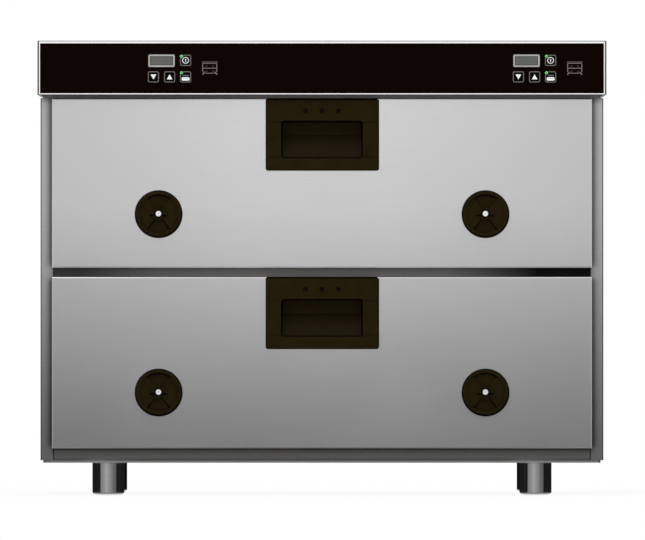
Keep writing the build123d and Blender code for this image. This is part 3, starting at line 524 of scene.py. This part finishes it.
def printed_ink(name, base):
    """Screen-printed ink, slightly uneven in tone."""
    finish = Finish(name, specular=0.2)
    speckle = finish.noise(0.5 * mm)
    finish.set_surface(finish.mottled(speckle, *tones(base, 0.05)), speckle, 0.45, 0.6)
    return finish.material


def lit_lamp(name, base, strength):
    """Green light pipe, brighter in patches as a diffused diode is."""
    finish = Finish(name, specular=0.4)
    patches = finish.noise(1.5 * mm, 1.0)
    glow = finish.mottled(patches, *tones(base, 0.15))
    finish.link(glow, finish.shader.inputs["Emission Color"])
    finish.shader.inputs["Emission Strength"].default_value = strength
    finish.set_surface(glow, patches, 0.25, 0.35)
    return finish.material


def display_glass(name):
    """Grey display film under a matt window, masked black along its top."""
    finish = Finish(name, specular=0.15)
    rows = finish.noise((0.05, 0.05, 0.9 * mm), 1.0)
    film = finish.mottled(rows, colour(92, 95, 91), colour(103, 106, 102))
    masked = finish.over(finish.part_of("Object", "Z"), display_high.z - display_mask)
    finish.set_surface(finish.blend(masked, film, colour(12, 4, 1)), rows, 0.3, 0.4)
    return finish.material


def circuit_board(name):
    """Green solder mask with lighter copper runs under it."""
    finish = Finish(name, specular=0.4)
    runs = finish.cells(3 * mm, "Distance")
    on_run = finish.between(runs, 0.0, 1.0, 0.35, 0.5)
    tone = finish.blend(on_run, colour(22, 74, 42), colour(44, 112, 62))
    finish.set_surface(tone, runs, 0.3, 0.45)
    return finish.material


# ---------------------------------------------------------------- which node has which finish
# Fronts: a painted reflection darker at each end, a painted highlight on the upper front's folds,
# a dimmer painted fold on the lower, and darker towards the floor as painted shade.
front_end_reflection = colour(201, 201, 202)
painted_front_folds = {"upper": grey(250), "lower": grey(168)}
front_steel = {
    level: brushed_steel(
        f"front_stainless_{level}", colour(213, 213, 214), 0.36, fold=painted_front_folds[level],
        painted_ends=((front_end_reflection, (-0.37, -0.12)), (front_end_reflection, (0.1, 0.37))), foot=0.7,
    )
    for level in levels
}
# Hood: a painted highlight on its front face, painted shade on its rim and folds.
crown_steel = brushed_steel(
    "hood_stainless", colour(162, 162, 163), grain=0.03, front=hood_front, fold=hood_rim_shade,
)
# Casing: painted shade on its folds and in its corners, and darker towards the floor as painted
# shade.
frame_steel = brushed_steel(
    "casing_stainless", colour(178, 178, 179), fold=casing_fold_shade, recess=0.015, foot=0.62,
)
# Sill: a darker copy of the steel as painted shade, with painted shade in its corners.
shaded_sill_steel = brushed_steel("sill_stainless", colour(134, 133, 131), recess=0.006)
# Neck: a darker copy of the steel as painted shade.
shaded_neck_steel = brushed_steel("neck_stainless", colour(104, 103, 100))
# Divider rail: a darker copy of the steel as painted shade, painted shade in its corners, and a
# painted reflection darker towards each end.
shaded_rail_steel = brushed_steel(
    "rail_stainless", colour(104, 103, 101), recess=0.003,
    painted_ends=((colour(64, 63, 61), (-0.345, -0.225)), (colour(22, 22, 21), (0.18, 0.31))),
)
# Base: painted shade on its round folds.
base_steel = brushed_steel("base_stainless", grey(180), fold=grey(100))
liner_steel = mill_steel("liner_steel", colour(186, 187, 188), 0.3)
zinc_sheet = galvanised_sheet("galvanised_sheet")
slide_zinc = plated_steel("slide_zinc", colour(196, 199, 204))
screw_steel = plated_steel("screw_steel", colour(225, 225, 226), 0.2)
foot_steel = turned_steel("foot_steel", colour(205, 205, 206))
screw_black = moulded_plastic("blackened_screw", colour(20, 15, 6), 0.6, 0.03)
# Near-black of the painted shade line round each pull, and of the dark rings round the vents.
bead_black = moulded_plastic("dark_line_bead", colour(8, 7, 5), 0.5, 0.05)
gland_plastic = moulded_plastic("gland_plastic", colour(30, 30, 31), 0.45, 0.3)
bezel_grey = moulded_plastic("display_bezel", colour(176, 176, 172), 0.35, 0.4, 0.005 * mm)
power_lacquer = moulded_plastic("power_lacquer", colour(46, 44, 42), 0.4, 0.4)
overlay_black = gloss_panel("panel_overlay", colour(12, 3, 0))
key_black = gloss_panel("key_caps", colour(5, 3, 2), 0.3)
white_ink = printed_ink("white_print", grey(250))
grey_ink = printed_ink("grey_print", colour(118, 114, 112))
dim_ink_and_shade = printed_ink("dim_print_and_shade", colour(66, 54, 52))
pale_green = printed_ink("lamp_collar", colour(176, 236, 176))
window_grey = display_glass("display_window")
lamp_green = lit_lamp("status_green", colour(8, 186, 36), 0.22)
seal_rubber = silicone_seal("silicone_seal")
wool = mineral_fibre("mineral_wool")
board_mask = circuit_board("circuit_board")
sheath = heated_sheath("heater_sheath")

node_finishes = {
    "crown_cover": crown_steel,
    "crown_floor": shaded_neck_steel,
    "casing_side_left": frame_steel,
    "casing_side_right": frame_steel,
    "front_sill": shaded_sill_steel,
    "divider_rail": shaded_rail_steel,
    "roof_panel": frame_steel,
    "base_tray": base_steel,
    "rear_panel": zinc_sheet,
    "insulation": wool,
    "chamber_probes": screw_steel,
    "slide_channels": slide_zinc,
    "foot_sleeves": foot_steel,
    "control_panel": overlay_black,
    "displays": window_grey,
    "status_lamps": lamp_green,
    "control_boards": board_mask,
    "power_parts": power_lacquer,
    "cable_gland": gland_plastic,
}
level_finishes = {
    "chamber": liner_steel,
    "heater": sheath,
    "slide_middles": slide_zinc,
    "slide_runners": slide_zinc,
    "pan_frame": liner_steel,
    "front_liner": liner_steel,
    "front_insulation": wool,
    "gasket": seal_rubber,
}
for level in levels:
    node_finishes[f"front_skin_{level}"] = front_steel[level]
    node_finishes[f"front_screws_{level}"] = front_screw_finish(f"front_screws_{level}", level)
    node_finishes.update({f"{what}_{level}": look for what, look in level_finishes.items()})
    node_finishes[f"handle_{level}"] = black_moulding(f"pull_{level}", pull_shadows(level))
    node_finishes[f"vent_frames_{level}"] = black_moulding(f"vents_{level}", vent_shadows(level))
    for side in sides:
        name = f"vent_shutter_{level}_{side}"
        node_finishes[name] = black_moulding(name, hub_shadows(level, side))
node_finishes.update({name: key_black for name in key_names})
for end in ("front", "rear"):
    node_finishes.update({f"levelling_foot_{end}_{side}": foot_steel for side in sides})

for name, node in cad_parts.items():
    node.data.materials.clear()
    node.data.materials.append(node_finishes[name])


# ---------------------------------------------------------------- shaping
upright = Matrix.Rotation(radians(90), 4, "X")
facings = {
    "front": upright,
    "rear": Matrix.Rotation(radians(180), 4, "Z") @ upright,
    "right": Matrix.Rotation(radians(90), 4, "Z") @ upright,
}


def everything(part):
    """All of a part, as bisect_plane takes it."""
    return part.verts[:] + part.edges[:] + part.faces[:]


def open_edges(part):
    """Edges with a face on one side only."""
    return [edge for edge in part.edges if edge.is_boundary]


def verts_in(result):
    """Vertices among what an extrusion made."""
    return [item for item in result["geom"] if isinstance(item, bmesh.types.BMVert)]


def thickened(part, thickness):
    """A flat part given its thickness towards local +Z."""
    raised = bmesh.ops.extrude_face_region(part, geom=part.faces[:])
    bmesh.ops.translate(part, vec=(0, 0, thickness), verts=verts_in(raised))
    bmesh.ops.recalc_face_normals(part, faces=part.faces[:])
    return part


def flat_plate(width, height, corner):
    """Flat rounded rectangle in local XY."""
    part = bmesh.new()
    bmesh.ops.create_grid(part, x_segments=1, y_segments=1, size=0.5)
    bmesh.ops.scale(part, vec=(width, height, 1), verts=part.verts[:])
    bmesh.ops.bevel(
        part, geom=part.verts[:], offset=corner, segments=4,
        profile=0.5, affect="VERTICES", material=-1,
    )
    return part


def plate(width, height, corner, thickness):
    """Rounded plate."""
    return thickened(flat_plate(width, height, corner), thickness)


def inset_middle(part, wall):
    """A single face cut open, so that a border of that width is left."""
    bmesh.ops.inset_region(
        part, faces=part.faces[:], thickness=wall, use_boundary=True, use_even_offset=True,
    )
    middle = min(part.faces, key=lambda face: face.calc_center_median().length)
    bmesh.ops.delete(part, geom=[middle], context="FACES")


def outline(width, height, corner, wall, thickness):
    """Rounded rectangular frame."""
    part = flat_plate(width, height, corner)
    inset_middle(part, wall)
    return thickened(part, thickness)


def ring(outer, inner, thickness, segments=40):
    """Flat ring."""
    part = bmesh.new()
    bmesh.ops.create_circle(part, cap_ends=True, segments=segments, radius=outer)
    inset_middle(part, outer - inner)
    return thickened(part, thickness)


def arrow(width, height, thickness):
    """Triangle that points up."""
    part = bmesh.new()
    corners = ((-width / 2, -height / 2), (width / 2, -height / 2), (0, height / 2))
    part.faces.new([part.verts.new((x, y, 0)) for x, y in corners])
    return thickened(part, thickness)


def cross_head(radius, height, recess):
    """Domed screw head with a cross recess."""
    cells, fall, arm_reach, arm_half = 12, 0.45, 0.62 * radius, 0.17 * radius
    part = bmesh.new()
    bmesh.ops.create_grid(part, x_segments=cells, y_segments=cells, size=1.0)
    for vert in part.verts:
        u, v = vert.co.x, vert.co.y
        round_x = u * (1 - v * v / 2) ** 0.5
        round_y = v * (1 - u * u / 2) ** 0.5
        dome = height * (1 - fall * (round_x ** 2 + round_y ** 2))
        vert.co = (round_x * radius, round_y * radius, dome)
    cross = []
    for face in part.faces:
        place = face.calc_center_median()
        if min(abs(place.x), abs(place.y)) < arm_half and place.xy.length < arm_reach:
            cross.append(face)
    sunk = bmesh.ops.extrude_face_region(part, geom=cross)
    bmesh.ops.delete(part, geom=cross, context="FACES_ONLY")
    bmesh.ops.translate(part, vec=(0, 0, -recess), verts=verts_in(sunk))
    skirt = bmesh.ops.extrude_edge_only(part, edges=open_edges(part))
    for vert in verts_in(skirt):
        vert.co.z = 0
    bmesh.ops.contextual_create(part, geom=open_edges(part))
    bmesh.ops.recalc_face_normals(part, faces=part.faces[:])
    return part


def mesh_of(part, name, *materials):
    """A shaped part as a mesh with its materials."""
    mesh = bpy.data.meshes.new(name)
    part.to_mesh(mesh)
    part.free()
    for material in materials:
        mesh.materials.append(material)
    return mesh


def in_scene(name, data):
    """A scene object of that mesh, lamp or camera."""
    made = bpy.data.objects.new(name, data)
    bpy.context.scene.collection.objects.link(made)
    return made


class Piece:
    """A new piece of the object, gathered from parts that are shaped one by one."""

    smooth_below = radians(35)

    def __init__(self, name, body, material, slot):
        self.name, self.body, self.material, self.slot = name, body, material, slot
        self.whole = bmesh.new()

    def add(self, part, x, y, z, facing="front", turn=0.0):
        """Put a part down with its local origin at x, y, z."""
        place = Matrix.Translation((x, y, z)) @ facings[facing] @ Matrix.Rotation(turn, 4, "Z")
        bmesh.ops.transform(part, matrix=place, verts=part.verts[:])
        mesh = mesh_of(part, "part")
        self.whole.from_mesh(mesh)
        bpy.data.meshes.remove(mesh)

    def done(self, edge=0.0):
        """Make the object, smooth it and let it ride."""
        mesh = mesh_of(self.whole, self.name, self.material)
        mesh.polygons.foreach_set("use_smooth", [True] * len(mesh.polygons))
        mesh.set_sharp_from_angle(angle=self.smooth_below)
        piece = in_scene(self.name, mesh)
        if edge:
            round_off = piece.modifiers.new("edge", "BEVEL")
            round_off.width = edge
            round_off.segments = 2
            round_off.limit_method = "ANGLE"
        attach(piece, self.body)


# ---------------------------------------------------------------- control panel
print_height = 0.07 * mm
key_outline = (15.8 * mm, 15.8 * mm, 2.4 * mm, 1.1 * mm)
lamp_clear = 3.3 * mm
lamp_offset = 5.9 * mm
collar_rings = (2.05 * mm, 1.55 * mm)
arrow_size = (8.2 * mm, 7.2 * mm)
power_ring = (4.75 * mm, 3.85 * mm)
power_bar = (1.2 * mm, 4.2 * mm, 0.5 * mm)
pan_plate = (11.4 * mm, 5.0 * mm, 1.9 * mm)
pan_drop = 2.9 * mm
lid_line = (8.8 * mm, 1.1 * mm, 0.5 * mm)
lid_shift, lid_rise = 0.4 * mm, 2.2 * mm
pan_dash = (1.9 * mm, 0.6 * mm, 0.2 * mm)
dash_pitch, dash_rise = 2.9 * mm, 0.6 * mm


def key_border(name):
    """Grey outline on a key cap, open at the corner where a status lamp shows through."""
    middle = centre(name)
    part = outline(*key_outline, print_height)
    if any(what in name for what in keys_with_lamps):
        for place, normal in (((-lamp_clear, 0, 0), (1, 0, 0)), ((0, lamp_clear, 0), (0, 1, 0))):
            bmesh.ops.bisect_plane(part, geom=everything(part), plane_co=place, plane_no=normal)
        places = [(face, face.calc_center_median()) for face in part.faces]
        corner = [face for face, at in places if at.x < -lamp_clear and at.y > lamp_clear]
        bmesh.ops.delete(part, geom=corner, context="FACES")
        bmesh.ops.holes_fill(part, edges=open_edges(part), sides=4)
    border = Piece(f"{name}_border", name, grey_ink, "key_black")
    border.add(part, middle.x, front_of(name), middle.z)
    border.done()


def key_symbol(name):
    """White symbol of one key: arrow, power ring or pan."""
    middle, face = centre(name), front_of(name)
    symbol = Piece(f"{name}_symbol", name, white_ink, "key_black")
    if "down" in name:
        z = middle.z - 0.1 * mm
        symbol.add(arrow(*arrow_size, print_height), middle.x, face, z, turn=pi)
    elif "up" in name:
        symbol.add(arrow(*arrow_size, print_height), middle.x, face, middle.z)
    elif "power" in name:
        symbol.add(ring(*power_ring, print_height), middle.x, face, middle.z)
        symbol.add(plate(*power_bar, print_height), middle.x, face, middle.z)
    else:
        symbol.add(plate(*pan_plate, print_height), middle.x, face, middle.z - pan_drop)
    symbol.done()


def pan_lid(name):
    """Grey line of the lid above a key's pan, and three grey dashes on the pan."""
    middle, face = centre(name), front_of(name)
    lid = Piece(f"{name}_lid_line", name, grey_ink, "key_black")
    lid.add(plate(*lid_line, print_height), middle.x + lid_shift, face, middle.z + lid_rise)
    for step in (-1, 0, 1):
        dash = plate(*pan_dash, print_height)
        x, z = middle.x + step * dash_pitch, middle.z - pan_drop + dash_rise
        lid.add(dash, x, face - print_height / 2, z)
    lid.done()


def lamp_collar(side):
    """Pale rings round the status lamps of one control group."""
    collars = Piece(f"lamp_collars_{side}", "cabinet", pale_green, "lamp_green")
    for what in keys_with_lamps:
        middle = centre(f"key_{what}_{side}")
        x, z = middle.x - lamp_offset, middle.z + lamp_offset
        collars.add(ring(*collar_rings, print_height), x, front_of("status_lamps"), z)
    collars.done()


def display_window(side):
    """Rounded bezel of one display, and the shaded edge of its window."""
    x = (centre(f"key_down_{side}").x + centre(f"key_up_{side}").x) / 2
    z = (display_low.z + display_high.z - display_mask) / 2
    width = 38.0 * mm
    height = display_high.z - display_low.z - display_mask
    bezel_corner, bezel_wall, bezel_height, bezel_edge = 2.6 * mm, 2.3 * mm, 0.28 * mm, 0.1 * mm
    shade_inset, shade_corner, shade_wall, shade_height = 2.2 * mm, 0.6 * mm, 1.1 * mm, 0.06 * mm
    bezel = Piece(f"display_bezel_{side}", "cabinet", bezel_grey, "display_window")
    bezel.add(outline(width, height, bezel_corner, bezel_wall, bezel_height), x, panel_face, z)
    bezel.done(edge=bezel_edge)
    width, height = width - 2 * shade_inset, height - 2 * shade_inset
    # The window's shaded edge is painted shade, drawn in the dim print.
    edge = Piece(f"display_shade_{side}", "cabinet", dim_ink_and_shade, "display_window")
    edge.add(outline(width, height, shade_corner, shade_wall, shade_height), x, panel_face, z)
    edge.done()


def cabinet_pictogram(side):
    """Printed outline of a two-drawer cabinet on feet beside each control group."""
    x = centre(f"key_power_{side}").x + 34.8 * mm
    z = (panel_low.z + panel_high.z) / 2 + 0.3 * mm
    width, wall = 21.6, 1.25
    half = (width - wall) / 2
    # across and up from the middle, width, height, all in millimetres
    bars = [
        (0.0, 6.8, width, 1.3),
        (0.0, -0.4, width - 2.0, 1.1),
        (0.0, -7.6, 13.0, 1.0),
        (-half, 1.7, wall, 15.4),
        (half, 1.7, wall, 15.4),
    ]
    pulls = [(step * 4.7, 2.5 - 7.5 * row, 1.7, 2.4) for step in (-1, 1) for row in (0, 1)]
    sign = Piece(f"cabinet_pictogram_{side}", "cabinet", grey_ink, "glossy_panel")
    for shift, rise, wide, high in bars:
        bar = plate(wide * mm, high * mm, 0.3 * mm, print_height)
        sign.add(bar, x + shift * mm, panel_face, z + rise * mm)
    for step in (-1, 1):
        foot = plate(1.7 * mm, 5.2 * mm, 0.6 * mm, print_height)
        sign.add(foot, x + step * 8.9 * mm, panel_face, z - 7.7 * mm, turn=step * radians(40))
    sign.done()
    faint = Piece(f"pictogram_marks_{side}", "cabinet", dim_ink_and_shade, "glossy_panel")
    roof = plate((width - 1.4) * mm, 1.6 * mm, 0.3 * mm, print_height)
    faint.add(roof, x, panel_face, z + 8.9 * mm)
    for shift, rise, wide, high in pulls:
        pull = plate(wide * mm, high * mm, 0.4 * mm, print_height)
        faint.add(pull, x + shift * mm, panel_face, z + rise * mm)
    faint.done()


for key_name in key_names:
    key_border(key_name)
    key_symbol(key_name)
    if "drawer" in key_name:
        pan_lid(key_name)
for side in sides:
    display_window(side)
    lamp_collar(side)
    cabinet_pictogram(side)


# ---------------------------------------------------------------- fasteners and beads
bead_depth = 0.7 * mm


def pull_shade_line(level):
    """Black bead that paints a pull's shaded round edge as a thin line round its sides and foot.
    """
    low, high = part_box(f"handle_{level}")
    shift, show, overlap, corner, open_top = 0.6 * mm, 0.8 * mm, 0.9 * mm, 3.4 * mm, 2 * mm
    width, height = high.x - low.x + 2 * show, high.z - low.z + show
    part = outline(width, height, corner, show + overlap, bead_depth)
    top = (0, (high.z - low.z) / 2 - open_top, 0)
    bmesh.ops.bisect_plane(
        part, geom=everything(part), plane_co=top, plane_no=(0, 1, 0), clear_outer=True,
    )
    bmesh.ops.holes_fill(part, edges=open_edges(part), sides=4)
    bead = Piece(f"pull_shade_line_{level}", f"drawer_{level}", bead_black, "silicone")
    x, z = (low.x + high.x) / 2 + shift, (low.z + high.z) / 2
    bead.add(part, x, front_of(f"front_skin_{level}"), z)
    bead.done()


def vent_beads(level):
    """Black rings that draw a dark line round the two vents of a front."""
    low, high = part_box(f"vent_frames_{level}")
    radius, half_width = (high.z - low.z) / 2, 0.9 * mm
    shift, drop = 0.2 * mm, 0.6 * mm
    bead = Piece(f"vent_beads_{level}", f"drawer_{level}", bead_black, "silicone")
    for side in sides:
        x = centre(f"vent_shutter_{level}_{side}").x + shift
        z = (low.z + high.z) / 2 - drop
        part = ring(radius + half_width, radius - half_width, bead_depth, 64)
        bead.add(part, x, front_of(f"front_skin_{level}"), z)
    bead.done()


def pull_screw_heads(level):
    """Cross-recessed heads of the three screws that hold a pull."""
    low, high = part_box(f"handle_{level}")
    pitch, drop, depth = 23.5 * mm, 17.7 * mm, 1.5 * mm
    heads = Piece(f"pull_screw_heads_{level}", f"drawer_{level}", screw_black, "black_plastic")
    for step in (-1, 0, 1):
        head = cross_head(3.0 * mm, 0.8 * mm, 0.7 * mm)
        heads.add(head, step * pitch, low.y + depth, high.z - drop)
    heads.done()


def rear_screws():
    """Pan-head screws round the rear panel and along the hood's rear edge."""
    inset, head_size = 9 * mm, (3.6 * mm, 1.9 * mm, 1.2 * mm)
    flange_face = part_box("casing_side_left")[1].y + 1.2 * mm
    x_end = rear_high.x - inset
    rows = [rear_low.z + inset, (rear_low.z + rear_high.z) / 2, rear_high.z - inset]
    columns = [x_end * share for share in (-1, -0.5, 0, 0.5, 1)]
    screws = Piece("rear_screws", "cabinet", screw_steel, "hardware")
    for row, z in enumerate(rows):
        for column, x in enumerate(columns):
            if row == 1 and column not in (0, 4):
                continue
            turn = radians(37 * (row * 5 + column))
            screws.add(cross_head(*head_size), x, flange_face, z, "rear", turn)
    for step in range(5):
        x = crown_high.x * 0.9 * (step / 2 - 1)
        z = crown_low.z + 6.5 * mm
        screws.add(cross_head(*head_size), x, crown_high.y, z, "rear", radians(23 + 41 * step))
    screws.done()


def liner_screws(level):
    """Screws through the inner panel of a front, beside and under the pan frame."""
    low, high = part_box(f"front_liner_{level}")
    deck_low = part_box(f"pan_frame_{level}")[0]
    side_inset, rise = 52 * mm, 26 * mm
    screws = Piece(f"liner_screws_{level}", f"drawer_{level}", screw_steel, "hardware")
    for row, z in enumerate((low.z + rise, (low.z + deck_low.z) / 2 + rise)):
        for column in (-1, -0.33, 0.33, 1):
            x = column * (high.x - side_inset)
            turn = radians(31 * (row * 4 + column * 3))
            head = cross_head(3.2 * mm, 1.5 * mm, 1.0 * mm)
            screws.add(head, x, high.y, z, "rear", turn)
    screws.done()


rear_screws()
for level in levels:
    pull_shade_line(level)
    vent_beads(level)
    pull_screw_heads(level)
    liner_screws(level)


# ---------------------------------------------------------------- stage
white_backdrop = 1.0
world_fill = 0.5
tray_grey = 0.24
dark_card = 0.016
inner_card_grey = 0.004


def seen_as_background(nodes):
    """1 for rays that come from the camera or through metal and glass, else 0."""
    light_path = nodes.node("ShaderNodeLightPath")
    total = light_path.outputs["Is Camera Ray"]
    for name in ("Is Glossy Ray", "Is Transmission Ray"):
        total = nodes.sum_up("MAXIMUM", total, light_path.outputs[name])
    return total


def bare_material(name):
    """A material with only its output node, and its nodes."""
    material = bpy.data.materials.new(name)
    material.use_nodes = True
    nodes = Nodes(material.node_tree)
    nodes.tree.nodes.remove(nodes.tree.nodes["Principled BSDF"])
    return material, nodes


def set_output(nodes, shader):
    """The shader that a bare material shows."""
    nodes.link(shader.outputs[0], nodes.tree.nodes["Material Output"].inputs["Surface"])


def make_world():
    """White background, with a plainer grey light on the object."""
    world = bpy.data.worlds.new("studio")
    bpy.context.scene.world = world
    world.use_nodes = True
    nodes = Nodes(world.node_tree)
    background = nodes.tree.nodes["Background"]
    background.inputs["Color"].default_value = (1, 1, 1, 1)
    level = nodes.between(seen_as_background(nodes), world_fill, white_backdrop, 0.0, 1.0)
    nodes.link(level, background.inputs["Strength"])


def make_floor():
    """Plain pale floor that keeps a soft shadow, and whitens into the backdrop."""
    near, far, near_level = 0.6, 2.4, 0.93
    part = bmesh.new()
    bmesh.ops.create_circle(part, cap_ends=True, segments=96, radius=3.0)
    material, nodes = bare_material("floor_white")
    matt = nodes.node("ShaderNodeBsdfDiffuse")
    matt.inputs["Color"].default_value = (0.9, 0.9, 0.9, 1)
    glow = nodes.node("ShaderNodeEmission")
    off_middle = nodes.node("ShaderNodeVectorMath", operation="LENGTH")
    nodes.link(nodes.place("Object"), off_middle.inputs[0])
    fade = nodes.between(off_middle.outputs["Value"], near_level, white_backdrop, near, far)
    mix = nodes.node("ShaderNodeMixShader")
    nodes.link(nodes.sum_up("MULTIPLY", seen_as_background(nodes), fade), mix.inputs[0])
    nodes.link(matt.outputs[0], mix.inputs[1])
    nodes.link(glow.outputs[0], mix.inputs[2])
    set_output(nodes, mix)
    in_scene("floor", mesh_of(part, "floor", material))


def card_material(name, level, gradient=None):
    """Studio card of one grey, which a gradient may weaken from place to place."""
    material, nodes = bare_material(name)
    glow = nodes.node("ShaderNodeEmission")
    glow.inputs["Color"].default_value = (level, level, level, 1)
    if gradient:
        nodes.link(gradient(nodes), glow.inputs["Strength"])
    set_output(nodes, glow)
    return material


def hang_card(name, part, *materials):
    """Put a studio card down, seen only in metal."""
    card = in_scene(name, mesh_of(part, name, *materials))
    card.visible_camera = False
    card.visible_diffuse = False
    card.visible_transmission = False
    card.visible_shadow = False


def raise_wall(part, edges, height):
    """A wall of that height, extruded from edges."""
    wall = bmesh.ops.extrude_edge_only(part, edges=edges)
    bmesh.ops.translate(part, vec=(0, 0, height), verts=verts_in(wall))


def make_tray():
    """Grey tray round the foot of the object, seen only in its metal."""
    radius, height, lift = 1.5, 0.23, 2 * mm
    part = bmesh.new()
    bmesh.ops.create_circle(part, cap_ends=True, segments=90, radius=radius)
    raise_wall(part, open_edges(part), height)
    bmesh.ops.translate(part, vec=(0, 0, lift), verts=part.verts[:])
    hang_card("flag_tray", part, card_material("flag_grey", tray_grey))


def make_foot_card(side):
    """Card bent round a front foot: bright ahead, brightest a little left, dark at the sides."""
    middle = centre(f"levelling_foot_front_{side}")
    radius, low, high, bright_half = 75 * mm, 1 * mm, 46 * mm, 58 * mm
    brightest_x, bright, dull, dull_from = middle.x - 14 * mm, 0.56, 0.18, 60 * mm
    part = bmesh.new()
    bmesh.ops.create_circle(part, segments=72, radius=radius)
    raise_wall(part, part.edges[:], high - low)
    for face in part.faces:
        place = face.calc_center_median()
        if abs(place.x) > bright_half or place.y > 0:
            face.material_index = 1
    bmesh.ops.translate(part, vec=(middle.x, middle.y, low), verts=part.verts[:])

    def gradient(nodes):
        off_brightest = nodes.away(nodes.part_of("Object", "X"), brightest_x)
        return nodes.between(off_brightest, bright, dull, 0.0, dull_from)

    name = f"foot_card_{side}"
    ahead = card_material(name, 1.0, gradient)
    hang_card(name, part, ahead, card_material(f"foot_card_dark_{side}", dark_card))


def make_inner_card(side):
    """Dark card beside a rear foot, on the side that shows past the front foot."""
    middle = centre(f"levelling_foot_rear_{side}")
    inwards = -1 if middle.x > 0 else 1
    offset, lift, width, height = 60 * mm, 24 * mm, 220 * mm, 44 * mm
    part = bmesh.new()
    bmesh.ops.create_grid(part, x_segments=1, y_segments=1, size=0.5)
    place = Matrix.Translation((middle.x + inwards * offset, middle.y, lift))
    size = Matrix.Diagonal((width, height, 1, 1))
    bmesh.ops.transform(part, matrix=place @ facings["right"] @ size, verts=part.verts[:])
    name = f"inner_card_{side}"
    hang_card(name, part, card_material(name, inner_card_grey))


def soft_light(name, place, target, size, power):
    """Square area light that looks at a point."""
    light = bpy.data.lights.new(name, "AREA")
    light.shape = "SQUARE"
    light.size = size
    light.energy = power
    lamp = in_scene(name, light)
    lamp.location = place
    lamp.rotation_euler = (Vector(target) - Vector(place)).to_track_quat("-Z", "Y").to_euler()


make_world()
make_floor()
make_tray()
for side in sides:
    make_foot_card(side)
    make_inner_card(side)
soft_light("key_light", (-0.7, -1.5, 3.2), (0, 0, 0.4), 2.2, 60)
soft_light("fill_light", (2.4, -1.6, 2.0), (0, 0, 0.3), 2.0, 12)
soft_light("rear_light", (0.6, 3.0, 2.4), (0, 0, 0.4), 2.0, 30)


# ---------------------------------------------------------------- camera
def make_camera():
    """Level view square to the front, through a very long lens."""
    picture_width, pixel = 645, 1.441 * mm
    view_x, view_z = 0.8 * mm, 325.1 * mm
    data = bpy.data.cameras.new("camera")
    data.lens = 1300.0
    data.sensor_width = 36.0
    data.clip_start, data.clip_end = 1.0, 200.0
    distance = data.lens / data.sensor_width * picture_width * pixel
    camera = in_scene("camera", data)
    camera.location = (view_x, crown_low.y - distance, view_z)
    camera.rotation_euler = (radians(90), 0, 0)
    bpy.context.scene.camera = camera


make_camera()
bpy.context.scene.view_settings.view_transform = "Standard"
